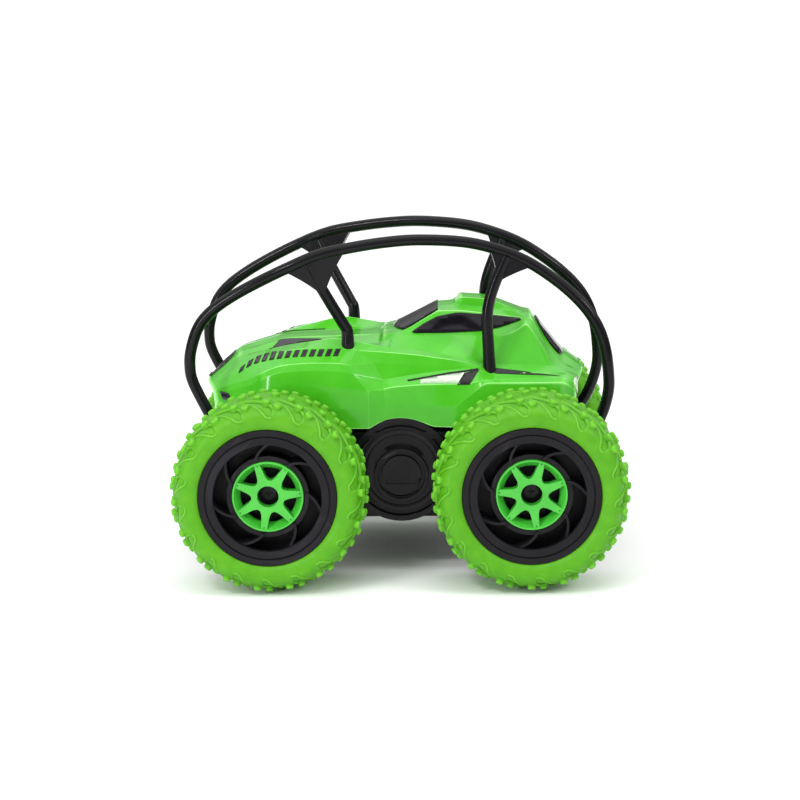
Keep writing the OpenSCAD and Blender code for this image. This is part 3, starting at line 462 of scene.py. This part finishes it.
def from_side(side):
    """Finds the body at (x, z), looking from one side."""
    def find(u, v):
        return SURFACE.ray_cast(Vector((u, side * SIDE_EYE, v)) * MM, Vector((0, -side, 0)))[:2]
    return find


def from_above(u, v):
    """Finds the body at (x, y), looking down."""
    return SURFACE.ray_cast(Vector((u, v, TOP_EYE)) * MM, Vector((0, 0, -1)))[:2]


def on_sides(outlines):
    """The same outlines on both sides of the body, each with its own finder."""
    return [(o, from_side(s)) for s in SIDES.values() for o in outlines]


def on_top(outlines):
    return [(o, from_above) for o in outlines]


def mirrored(outline):
    return [(p[0], -p[1]) for p in outline]


def rounded(outline, rounds=2, cut=0.2):
    """An outline with its corners cut back."""
    p = [Vector(q) for q in outline]
    for _ in range(rounds):
        p = [a.lerp(b, t) for a, b in zip(p, p[1:] + p[:1]) for t in (cut, 1 - cut)]
    return p


def draped(name, placed, slot, lift, thick, nodes=(), cell=2.0):
    """Thin shapes, given by flat outlines and their finders, cut into cells and laid on the body."""
    bm = bmesh.new()
    for outline, finder in placed:
        part = bmesh.new()
        part.faces.new([part.verts.new((p[0], p[1], 0)) for p in outline])
        for axis, normal in enumerate(((1, 0, 0), (0, 1, 0))):
            low = min(p[axis] for p in outline)
            high = max(p[axis] for p in outline)
            for k in range(1, int((high - low) / cell) + 1):
                at = Vector(normal) * (low + k * cell)
                geom = part.verts[:] + part.edges[:] + part.faces[:]
                bmesh.ops.bisect_plane(part, geom=geom, plane_co=at, plane_no=normal)
        facing = Vector()
        for v in part.verts[:]:
            place, out = finder(v.co.x, v.co.y)
            if place is None:
                part.verts.remove(v)
            else:
                v.co = place + out * lift * MM
                facing += out
        for f in part.faces:
            f.normal_update()
        if sum(f.normal.dot(facing) for f in part.faces) < 0:
            bmesh.ops.reverse_faces(part, faces=part.faces)
        extra = bpy.data.meshes.new("part")
        part.to_mesh(extra)
        part.free()
        bm.from_mesh(extra)
        bpy.data.meshes.remove(extra)
    data = bpy.data.meshes.new(name)
    bm.to_mesh(data)
    bm.free()
    data.shade_smooth()
    walled(shown(name, data, slot, "chassis", nodes), thick, 0)


# ------------------------------------------------------------------ glass, lamps and printed shapes

# How far each stands off the body, and its thickness
GLASS = (0.3, 0.8)
TRIM = (0.15, 0.5)
FOG_LAMP = (0.2, 0.6)
PRINT = (0.2, 0.12)
SLIT_PRINT = (0.16, 0.14)
SILVER_PRINT = (0.1, 0.1)

side_pane = rounded([(5, 113.9), (12, 118.2), (18.2, 121.3), (28.3, 123), (44, 121.6), (60.5, 119.6),
                     (49, 116.3), (40.5, 114.8), (22, 114.1)], 1, 0.1)
draped("side_windows_finished", on_sides([side_pane]), "window_dark", *GLASS,
       ["side_windows"], 1.6)

front_glass = [(-4 + 5.4 * v * v, 21.4 * v) for v in np.linspace(-1, 1, 13)]
front_glass += [(18.4, 17.4 * v) for v in np.linspace(1, -1, 9)]
draped("windshield_finished", on_top([rounded(front_glass, 1, 0.15)]), "window_dark", *GLASS,
       ["windshield"])

back_glass = [(67, -14), (67, 14), (80.5, 19), (80.5, -19)]
draped("rear_window_finished", on_top([rounded(back_glass, 3)]), "window_dark", *GLASS,
       ["rear_window"])

vent = [(-65.5, 24), (-60.5, 12.4), (-50, 14.3), (-40, 16.4), (-39.5, 17.4), (-45, 18.4), (-50, 19.2),
        (-56, 20.6), (-61, 23.4)]
vents = [rounded(v, 1, 0.06) for v in (vent, mirrored(vent))]
draped("hood_vents_finished", on_top(vents), "trim_dark", *TRIM, ["hood_vents"], 1.5)

inlay = [(-97.6, 1.5), (-84, 1.5), (-84.5, 9), (-88, 10.5), (-94, 7), (-97.6, 4)]
inlays = [rounded(v, 1, 0.1) for v in (inlay, mirrored(inlay))]
draped("headlamps_finished", on_top(inlays), "trim_dark", *TRIM, ["headlamps"], 1.5)

fog = [(-89.6, 86.6), (-84.4, 86.3), (-83.8, 83.2), (-88, 83)]
draped("fog_lamps_finished", on_sides([rounded(fog, 1, 0.1)]), "trim_dark", *FOG_LAMP,
       ["fog_lamps"], 1.2)

tail = [(83.5, 94), (90, 91.5), (89.6, 84), (86.5, 83.5)]
draped("tail_lamps_finished", on_sides([rounded(tail)]), "lamp_clear", *GLASS,
       ["tail_lamps"], 1.5)

# Dark slit along the top of each rear fender
slit = [(43.5, 39), (46, 44), (62, 43.8), (78, 43.2), (60, 40.8)]
draped("fender_slits", on_top([slit, mirrored(slit)]), "print_dark", *SLIT_PRINT, cell=1.0)

# A row of plain dashes along the front fender: the line they stand on, their number and width, and
# where the first and the last one start
DASH_LINE = ((-80, 95.8), (-76.4, 98.5), (-72.4, 100.7), (-68.9, 102), (-64.8, 103.4),
             (-58.8, 104.9), (-52.7, 105.8), (-46.7, 106.2), (-32.6, 106.4))
DASHES = 13
DASH_WIDTH = 2.4
FIRST_DASH, LAST_DASH = -80, -32.6


def dash(x, z, height, lean, rise):
    """A slanted dash, standing on a line that rises over its width."""
    return [(x, z), (x + DASH_WIDTH, z + rise), (x + DASH_WIDTH + lean, z + rise + height),
            (x + lean, z + height)]


dashes = []
for t in np.linspace(0, 1, DASHES):
    x = FIRST_DASH + (LAST_DASH - FIRST_DASH) * t
    z, ahead_z = np.interp((x, x + DASH_WIDTH), *zip(*DASH_LINE))
    dashes.append(dash(x, z, 2.4 + 0.5 * t, 0.9 + 0.4 * t, ahead_z - z))
draped("fender_dashes", on_sides(dashes), "print_dark", *PRINT, cell=0.9)

# The arrow on the door: a silver band, a dark head and a dark line over both
band = [(9.5, 93), (29, 93), (37.2, 98.3), (24, 97), (9.5, 94.8)]
draped("door_band", on_sides([band]), "print_silver", *SILVER_PRINT, cell=1.5)
arrow = [(27.5, 92.4), (33.5, 92.4), (38.4, 98.8), (31, 97.4)]
line = [(3.6, 93.9), (24, 97), (37.6, 98.6), (37.8, 99.3), (23.6, 97.7), (3.4, 94.5)]
draped("door_arrow", on_sides([arrow, line]), "print_dark", *PRINT, cell=1.5)

# ------------------------------------------------------------------ roll cage

# Middle lines of the left hoop and its two struts, and the corners of its gussets
HOOP = [
    (-86, -44, 62), (-89.5, -46, 70.5), (-94.5, -47.5, 80.5), (-101, -46.8, 94),
    (-102.4, -46.5, 102), (-101.6, -46.6, 110), (-98.2, -47.1, 120), (-93, -47.9, 127.2),
    (-84.4, -49.2, 134), (-72, -51.2, 141.3), (-55, -52.3, 149.6), (-39, -49.8, 156),
    (-22.5, -47.4, 159.3), (-6, -44.8, 161.4), (10, -42.6, 162.1), (31, -39.8, 160.6),
    (47, -37.9, 156.7), (62.5, -37.3, 150.2), (78, -38.2, 139.7), (89.4, -40, 129),
    (96.2, -41.1, 118.7), (99.8, -41.6, 108), (101.3, -41.9, 97), (101.4, -41.8, 87.5),
    (98.8, -41.4, 77), (94.2, -41, 67.5), (87.6, -40.5, 59.5),
]
FRONT_STRUT = [(-25.5, -40.6, 109), (-25.8, -40.4, 117.5), (-27.5, -41.2, 121), (-37.5, -45.4, 139),
               (-43.5, -49.6, 151.5)]
REAR_STRUT = [(43.6, -41.4, 95), (43, -40.8, 108), (42.4, -40.2, 123), (43.6, -39.6, 132),
              (47, -38.9, 142), (52, -38.1, 153.2)]
FRONT_WEB = [(-37, -45.4, 136), (-56, -52.3, 149.3), (-26, -47.9, 158.6)]
REAR_WEB = [(47.6, -38.6, 141), (43.5, -38.3, 157.4), (66, -37.3, 148.6)]
TUBE_R = 2.7
RIDGE = 0.12
AROUND = 28
# Gussets: thickness, how far each edge is hollowed (the one along the hoop isn't), steps per edge
WEB_THICK = 3.4
WEB_WAIST = (0.1, 0, 0.1)
WEB_STEPS = 10


def tube(path):
    """A moulded tube with a faint parting ridge on its inner and outer side. Its first end is a
    little wider and closes in a dome."""
    p = along(path, 5)
    widths = [TUBE_R * (1 + 0.13 * math.exp(-(i / 4) ** 2)) for i in range(len(p))]
    for turn in (0.35, 0.7, 0.95):
        back, out = math.cos(turn * math.pi / 2), math.sin(turn * math.pi / 2)
        p = [p[0] + (p[0] - p[1]).normalized() * TUBE_R * 0.35 * out] + p
        widths = [widths[0] * (0.4 + 0.6 * back)] + widths
    points, faces = [], []
    n = AROUND
    for i, q in enumerate(p):
        t = (p[min(i + 1, len(p) - 1)] - p[max(i - 1, 0)]).normalized()
        u = t.cross(Vector((0, 1, 0.1))).normalized()
        v = t.cross(u)
        for k, (across, upward) in enumerate(circle(n)):
            ridge = RIDGE if k in (0, n // 2) else 0
            points.append(q + (widths[i] + ridge) * (across * u + upward * v))
    for i in range(len(p) - 1):
        for k in range(n):
            a, b = i * n + k, i * n + (k + 1) % n
            faces.append((a, a + n, b + n, b))
    faces.append(tuple(range(n)))
    faces.append(tuple(reversed(range((len(p) - 1) * n, len(p) * n))))
    return points, faces


def web(corners):
    """A flat three-cornered web whose edges are hollowed by WEB_WAIST."""
    c = [Vector(q) for q in corners]
    normal = (c[1] - c[0]).cross(c[2] - c[0]).normalized() * WEB_THICK / 2
    middle = (c[0] + c[1] + c[2]) / 3
    rim = []
    for a, b, waist in zip(c, c[1:] + c[:1], WEB_WAIST):
        for i in range(WEB_STEPS):
            t = i / WEB_STEPS
            rim.append(a.lerp(b, t).lerp(middle, waist * 4 * t * (1 - t)))
    n = len(rim)
    points = [q + normal for q in rim] + [q - normal for q in rim]
    faces = [tuple(range(n)), tuple(reversed(range(n, 2 * n)))]
    faces += [(i, n + i, n + (i + 1) % n, (i + 1) % n) for i in range(n)]
    return points, faces


def cage(side_name, side):
    parts = [tube(path) for path in (HOOP, FRONT_STRUT, REAR_STRUT)]
    parts += [web(corners) for corners in (FRONT_WEB, REAR_WEB)]
    points, faces = [], []
    for p, f in parts:
        faces += [tuple(i + len(points) for i in face) for face in f]
        points += [Vector((q.x, q.y * -side, q.z)) for q in p]
    node = "cage_" + side_name
    data = mesh_of(node, points, faces, 40)
    facing_out(data)
    bevelled(shown(node + "_finished", data, "cage_plastic", "chassis", [node]), 0.5, 2, 50)


for side_name, side in SIDES.items():
    cage(side_name, side)

# ------------------------------------------------------------------ wheels

# Wheel shapes are made about the hub, with distances outboard of the tyre's mid-plane
PITCHES = 18
PITCH = 2 * math.pi / PITCHES
# The tyre: mesh steps round it, radius at the crown and at the widest place, half width, bead
TURNS = 570
CROWN_R = 45.3
WIDE_R = 38.0
HALF_W = 21.3
BEAD_Z = 18.6
# Nubs: height, radius, sides, and the radius of the section from which on they stand
NUB_H = 2.2
NUB_R = 1.95
NUB_SIDES = 14
NUB_FROM_R = 39
# How far a sidewall lug reaches up the section, and the mesh steps across it: bead, outboard
# lugs, tread, inboard lugs, bead
LUG_REACH = 18
SECTION_STEPS = (14, 46, 6, 34, 14)
# A lug's spine, from its round end to its tip: distance round the tyre (at LUG_R) and up the
# section; then its half width, the height of its outline and the least depth of its floor
LUG_R = 42.5
LUG_FOOT = (1.3, 3.9)
LUG_TIP = (16.6, 17.2)
LUG_HALF = 3.1
LUG_RIDGE = 0.62
LUG_FLOOR = 0.3
# Nubs of one pitch: degrees past the pitch's lug, distance outboard of the mid-plane
NUBS = [(-3, 17), (4, 13.5), (10, 5.5), (0, 0), (15, -5.5), (9, -13.5), (2, -17)]


def section():
    """The tyre's section from the outboard bead over the crown to the inboard one: radius, distance
    outboard, and the distances along it from both widest places."""
    raw = [(31.4, 16.2), (32.6, 16.6), (32.8, BEAD_Z)]
    # The wall from the bead to the widest place, then on to the crown; the inboard half mirrors them
    for a in np.radians(np.arange(176, 90, -4)):
        raw.append((WIDE_R - 5.2 * abs(math.cos(a)) ** 0.9, BEAD_Z + (HALF_W - BEAD_Z) * math.sin(a)))
    for a in np.radians(np.arange(90, -0.1, -1.5)):
        raw.append((WIDE_R + (CROWN_R - WIDE_R) * abs(math.cos(a)) ** 0.8,
                    HALF_W * math.sin(a) ** 0.8))
    raw = np.array(raw + [(r, -z) for r, z in raw[-2::-1]])
    length = np.concatenate([[0], np.cumsum(np.hypot(*np.diff(raw, axis=0).T))])
    widest = length[np.argmax(raw[:, 1])]
    end = length[-1]
    stops = (0, widest - 1.5, widest + LUG_REACH, end - widest - LUG_REACH, end - widest + 1.5, end)
    at = [np.linspace(a, b, n, endpoint=False) for a, b, n in zip(stops, stops[1:], SECTION_STEPS)]
    at = np.concatenate(at + [[end]])
    r = np.interp(at, length, raw[:, 0])
    z = np.interp(at, length, raw[:, 1])
    return r, z, at - widest, end - widest - at


def lug(phi, u):
    """Height of a sidewall lug: a raised leaf outline round a floor that is deepest along its outer
    edge. phi is the angle past the lug's round end, u the distance up the section in millimetres."""
    across = phi * LUG_R
    ax, ay = LUG_FOOT
    dx, dy = LUG_TIP[0] - ax, LUG_TIP[1] - ay
    reach = math.hypot(dx, dy)
    t = np.clip(((across - ax) * dx + (u - ay) * dy) / reach ** 2, 0, 1)
    # The spine bows by about a millimetre, and the leaf narrows towards its tip
    bow = np.sin(math.pi * t)
    cx, cy = ax + dx * t - 0.95 * bow, ay + dy * t + 0.85 * bow
    half = LUG_HALF * (1 - 0.78 * t ** 2.4)
    # d is the distance outside the leaf's edge; outer runs from -1 to 1 across the leaf
    d = np.hypot(across - cx, u - cy) - half
    outer = ((u - cy) * dx - (across - cx) * dy) / reach / half
    floor = np.clip((outer + 0.7) / 1.5, 0, 1)
    ridge = LUG_RIDGE * np.exp(-(d / 0.4) ** 2)
    hollow = -(LUG_FLOOR + 0.4 * floor ** 1.5) / (1 + np.exp((d + 0.45) / 0.12))
    return (ridge + hollow) * np.clip((1.06 - t) * 5, 0, 1)


def nub():
    """One domed peg, standing on z = 0."""
    outline = [(NUB_R + 0.5, -0.5), (NUB_R + 0.1, 0.05), (NUB_R, 0.5), (NUB_R * 0.97, 1.3),
               (NUB_R * 0.86, 1.8), (NUB_R * 0.6, 2.1), (NUB_R * 0.3, NUB_H)]
    n = NUB_SIDES
    points = [(r * c, r * s, z) for r, z in outline for c, s in circle(n)]
    faces = [(i * n + k, i * n + (k + 1) % n, (i + 1) * n + (k + 1) % n, (i + 1) * n + k)
             for i in range(len(outline) - 1) for k in range(n)]
    faces.append(tuple((len(outline) - 1) * n + k for k in range(n)))
    return np.array(points), faces


def tyre_mesh(name, side, phase):
    """The tyre: its section turned round the hub with leaf-shaped lugs on both walls, and nubs set
    over the shoulders and the tread."""
    r, z, u_out, u_in = section()
    count = len(r)
    theta = np.arange(TURNS) * 2 * math.pi / TURNS
    grid_t, grid_u = np.meshgrid(theta, u_out, indexing="ij")
    grid_v = np.meshgrid(theta, u_in, indexing="ij")[1]
    height = np.zeros_like(grid_t)
    for back in (0, 1):
        phi = np.mod(grid_t - phase, PITCH) + back * PITCH
        height = height + lug(phi, grid_u)
        phi = np.mod(grid_t - phase - PITCH / 2, PITCH) + back * PITCH
        height = height + lug(phi, grid_v)
    normal_r = np.gradient(z, u_out)
    normal_z = -np.gradient(r, u_out)
    scale = np.hypot(normal_r, normal_z)
    normal_r, normal_z = -normal_r / scale, -normal_z / scale
    radius = r + height * normal_r
    depth = z + height * normal_z
    points = np.stack([radius * np.cos(grid_t), radius * np.sin(grid_t), depth], -1).reshape(-1, 3)
    faces = []
    for i in range(TURNS):
        j = (i + 1) % TURNS
        faces += [(i * count + k, i * count + k + 1, j * count + k + 1, j * count + k)
                  for k in range(count - 1)]
    peg, peg_faces = nub()
    stacks = [points]
    total = len(points)
    for k in range(PITCHES):
        for degrees, out in NUBS:
            i = int(np.argmin(np.where(r < NUB_FROM_R, np.inf, np.abs(z - out))))
            normal = np.array([normal_r[i], normal_z[i]])
            a = phase + k * PITCH + math.radians(degrees)
            radial = np.array([math.cos(a), math.sin(a), 0])
            up = radial * normal[0] + np.array([0, 0, normal[1]])
            flat = np.array([-math.sin(a), math.cos(a), 0])
            base = radial * r[i] + np.array([0, 0, z[i]])
            stacks.append(base + peg @ np.array([flat, np.cross(up, flat), up]))
            faces += [tuple(f + total for f in face) for face in peg_faces]
            total += len(peg)
    points = np.concatenate(stacks)
    car = np.stack([points[:, 0], side * points[:, 2], points[:, 1]], -1)
    data = bpy.data.meshes.new(name)
    data.from_pydata((car * MM).tolist(), [], faces)
    facing_out(data)
    data.shade_smooth()
    return data


# Section of the hub insert's ring: a thin edge and a wall that slopes down into the wheel
RING = [(16.9, 9.7), (16.9, 15.7), (16.7, 16), (16, 16), (15.8, 15.6), (14.7, 13.2), (13.5, 11.6),
        (13.3, 11.2), (13.3, 9.7)]
RING_TURNS = 112
# The spoked plate: its two faces, number of spokes, and radius of its open centre and between spokes
STAR_Z = (10, 15.5)
SPOKES = 7
HOLE_R = 5.1
WAIST_R = 7.9
# Each spoke: distance out and half width where it leaves the hub and where it meets the ring
SPOKE_ROOT = (9.4, 1.95)
SPOKE_TIP = (16.3, 1.3)
# A small pit near each spoke's tip: distance out, radius
PIT = (15.2, 0.32)


def insert_mesh(name, side, phase):
    """The hub insert: a dished ring with seven tapered spokes and an open centre."""
    bm = bmesh.new()

    def loop(points):
        verts = [bm.verts.new((p[0], p[1], STAR_Z[0])) for p in points]
        return [bm.edges.new((a, b)) for a, b in zip(verts, verts[1:] + verts[:1])]

    def hole(r, n, at=(0, 0)):
        return loop([(at[0] + r * c, at[1] + r * s) for c, s in circle(n)])

    outline = []
    edges = hole(HOLE_R, 48)
    for k in range(SPOKES):
        a = phase + k * 2 * math.pi / SPOKES
        out = Vector((math.cos(a), math.sin(a)))
        flat = Vector((-math.sin(a), math.cos(a)))
        outline += [out * far - flat * half for far, half in (SPOKE_ROOT, SPOKE_TIP)]
        outline += [out * far + flat * half for far, half in (SPOKE_TIP, SPOKE_ROOT)]
        b = a + math.pi / SPOKES
        outline += [Vector((math.cos(b + t), math.sin(b + t))) * WAIST_R for t in (-0.1, 0.1)]
        edges += hole(PIT[1], 10, out * PIT[0])
    edges += loop(outline)
    bmesh.ops.triangle_fill(bm, edges=edges, use_beauty=True)
    made = bmesh.ops.extrude_face_region(bm, geom=bm.faces[:])
    for v in [g for g in made["geom"] if isinstance(g, bmesh.types.BMVert)]:
        v.co.z = STAR_Z[1]
    bmesh.ops.dissolve_limit(bm, angle_limit=math.radians(1), verts=bm.verts, edges=bm.edges)
    n = RING_TURNS
    rings = [[bm.verts.new((r * c, r * s, z)) for c, s in circle(n)] for r, z in RING]
    for low, high in zip(rings, rings[1:] + rings[:1]):
        for k in range(n):
            bm.faces.new((low[k], low[(k + 1) % n], high[(k + 1) % n], high[k]))
    for v in bm.verts:
        v.co = Vector((v.co.x, side * v.co.z, v.co.y)) * MM
    bmesh.ops.recalc_face_normals(bm, faces=bm.faces)
    data = bpy.data.meshes.new(name)
    bm.to_mesh(data)
    bm.free()
    data.shade_smooth()
    data.set_sharp_from_angle(angle=math.radians(40))
    return data


# How far the lugs and the spokes of the wheels are turned in the photo
LUG_PHASE = {"front": math.radians(5.6), "rear": math.radians(12.8)}
SPOKE_PHASE = {"front": math.radians(5), "rear": math.radians(21)}
for side_name, side in SIDES.items():
    for end_name, end in ENDS.items():
        place = end_name + "_" + side_name
        body = "wheel_" + place
        hub = Vector((end * AXLE_X, side * WHEEL_Y, HUB_Z)) * MM
        data = tyre_mesh("tyre_" + place, side, LUG_PHASE[end_name])
        data.transform(Matrix.Translation(hub))
        shown("tyre_" + place + "_finished", data, "tyre_rubber", body, ["tyre_" + place])
        data = insert_mesh("insert_" + place, side, SPOKE_PHASE[end_name])
        data.transform(Matrix.Translation(hub))
        insert = shown("hub_insert_" + place + "_finished", data, "hub_green", body,
                       ["hub_insert_" + place])
        bevelled(insert, 0.25, 3)
        refined("rim_" + place, "rim_plastic", 0.3)

# ------------------------------------------------------------------ gearbox covers

# Section of the stepped ring inside each cover's boss: radius, distance from the car's middle
DISH = [(13.4, 49), (13.4, 50.15), (13.6, 50.25), (17.4, 50.25), (17.7, 50.75), (17.9, 50.85),
        (20.6, 50.85), (20.9, 50.7), (21.1, 50.2), (21.1, 49)]
DISH_TURNS = 128


def dish(side_name, side):
    n = DISH_TURNS
    points = [(r * c, side * y, BOSS_Z + r * s) for r, y in DISH for c, s in circle(n)]
    faces = []
    for i in range(len(DISH)):
        low, high = i * n, (i + 1) % len(DISH) * n
        faces += [(low + k, low + (k + 1) % n, high + (k + 1) % n, high + k) for k in range(n)]
    data = mesh_of("cover_dish_" + side_name, points, faces, 30)
    facing_out(data)
    shown("cover_dish_" + side_name, data, "chassis_plastic", "chassis")


for side_name, side in SIDES.items():
    dish(side_name, side)

# ------------------------------------------------------------------ the other CAD nodes

for side_name in SIDES:
    refined("gearbox_cover_" + side_name, "chassis_plastic", 0.35)
refined("chassis_tub", "chassis_plastic", 0.4)
refined("chassis_deck", "chassis_plastic", 0.3)
refined("battery_door", "chassis_plastic", 0.25)

# All other pieces keep their CAD shape: start of the node's name, material; the first match counts
KEPT = [
    ("motor_rotor", "shaft_steel"), ("motor_pinion", "brass"), ("motor_", "motor_can"),
    ("centre_gear", "gear_plastic"), ("idler", "gear_plastic"), ("axle_gear", "gear_plastic"),
    ("gear_pins", "shaft_steel"), ("axle_bushes", "brass"), ("axle_", "shaft_steel"),
    ("battery_pack", "battery_wrap"), ("circuit_board", "board"), ("wiring", "wire"),
    ("switch_housing", "chassis_plastic"), ("switch_slider", "switch_knob"),
    # The wheel screws carry the painted shade of their deep holes
    ("case_screws", "screw_steel"), ("door_screw", "screw_steel"), ("wheel_screw", "screw_black"),
]
for name, obj in frame["nodes"].items():
    if obj.hide_render:
        continue
    slot = next(s for start, s in KEPT if name.startswith(start))
    if not obj.material_slots:
        obj.data.materials.append(MATERIALS[slot])
    for holder in obj.material_slots:
        holder.material = MATERIALS[slot]

# ------------------------------------------------------------------ floor, light and camera

# The floor and the lamps are given in metres
floor_paint = finish("floor", (244, 244, 244), (250, 250, 250), (0.7, 0.85), bump=0.02, mottle=3,
                     shader={"Specular IOR Level": 0.1})
floor_data = bpy.data.meshes.new("floor")
FLOOR_SIDE, FLOOR_NEAR, FLOOR_FAR = 30, -10, 60
floor_data.from_pydata([(-FLOOR_SIDE, FLOOR_NEAR, 0), (FLOOR_SIDE, FLOOR_NEAR, 0),
                        (FLOOR_SIDE, FLOOR_FAR, 0), (-FLOOR_SIDE, FLOOR_FAR, 0)], [], [(0, 1, 2, 3)])
floor_data.materials.append(floor_paint)
floor = bpy.data.objects.new("floor", floor_data)
bpy.context.scene.collection.objects.link(floor)


def studio(horizon, zenith):
    """Soft light from a pale ceiling, falling off towards the horizon."""
    world = bpy.data.worlds.new("studio")
    world.use_nodes = True
    tree = world.node_tree
    coord = tree.nodes.new("ShaderNodeTexCoord")
    split = tree.nodes.new("ShaderNodeSeparateXYZ")
    rise = tree.nodes.new("ShaderNodeMapRange")
    rise.interpolation_type = "SMOOTHSTEP"
    rise.inputs["From Min"].default_value = 0.02
    rise.inputs["From Max"].default_value = 0.7
    rise.inputs["To Min"].default_value = horizon
    rise.inputs["To Max"].default_value = zenith
    tree.links.new(coord.outputs["Generated"], split.inputs["Vector"])
    tree.links.new(split.outputs["Z"], rise.inputs["Value"])
    tree.links.new(rise.outputs["Result"], tree.nodes["Background"].inputs["Strength"])
    tree.nodes["Background"].inputs["Color"].default_value = (1, 1, 1, 1)
    bpy.context.scene.world = world


studio(0.16, 1.35)


def lamp(name, place, aim, size, power):
    """A soft rectangular lamp at one place, turned towards another."""
    data = bpy.data.lights.new(name, "AREA")
    data.shape = "RECTANGLE"
    data.size, data.size_y = size
    data.energy = power
    obj = bpy.data.objects.new(name, data)
    obj.location = place
    obj.rotation_euler = (Vector(aim) - Vector(place)).to_track_quat("-Z", "Y").to_euler()
    bpy.context.scene.collection.objects.link(obj)


lamp("key", (-0.45, -0.75, 0.95), (0, 0, 0.08), (0.3, 0.12), 3.5)
lamp("side", (0.85, -0.5, 0.75), (0, 0, 0.08), (0.3, 0.2), 2.5)
lamp("top", (0.1, -0.1, 1.3), (0, 0, 0.08), (0.9, 0.6), 3)
lamp("strip", (-0.68, -0.78, 0.27), (0, 0, 0.09), (0.12, 0.36), 3)

# The camera, worked out from the photo: place, turn from a square left side view, look down, tilt
CAMERA_AT = (22.7, -1123.2, 288.0)
AZIMUTH = math.radians(1.225)
ELEVATION = math.radians(10.708)
ROLL = math.radians(0.67)
ahead = Vector((-math.sin(AZIMUTH) * math.cos(ELEVATION), math.cos(AZIMUTH) * math.cos(ELEVATION),
                -math.sin(ELEVATION)))
level = Vector((math.cos(AZIMUTH), math.sin(AZIMUTH), 0))
upright = level.cross(ahead)
right = level * math.cos(ROLL) - upright * math.sin(ROLL)
up = level * math.sin(ROLL) + upright * math.cos(ROLL)
lens = bpy.data.cameras.new("camera")
lens.lens = 101.25
lens.sensor_width = 36
lens.clip_start = 0.05
lens.clip_end = 50
camera = bpy.data.objects.new("camera", lens)
camera.matrix_world = Matrix.Translation(Vector(CAMERA_AT) * MM) @ Matrix((
    (right.x, up.x, -ahead.x), (right.y, up.y, -ahead.y), (right.z, up.z, -ahead.z))).to_4x4()
bpy.context.scene.collection.objects.link(camera)
bpy.context.scene.camera = camera
bpy.context.scene.view_settings.view_transform = "Standard"
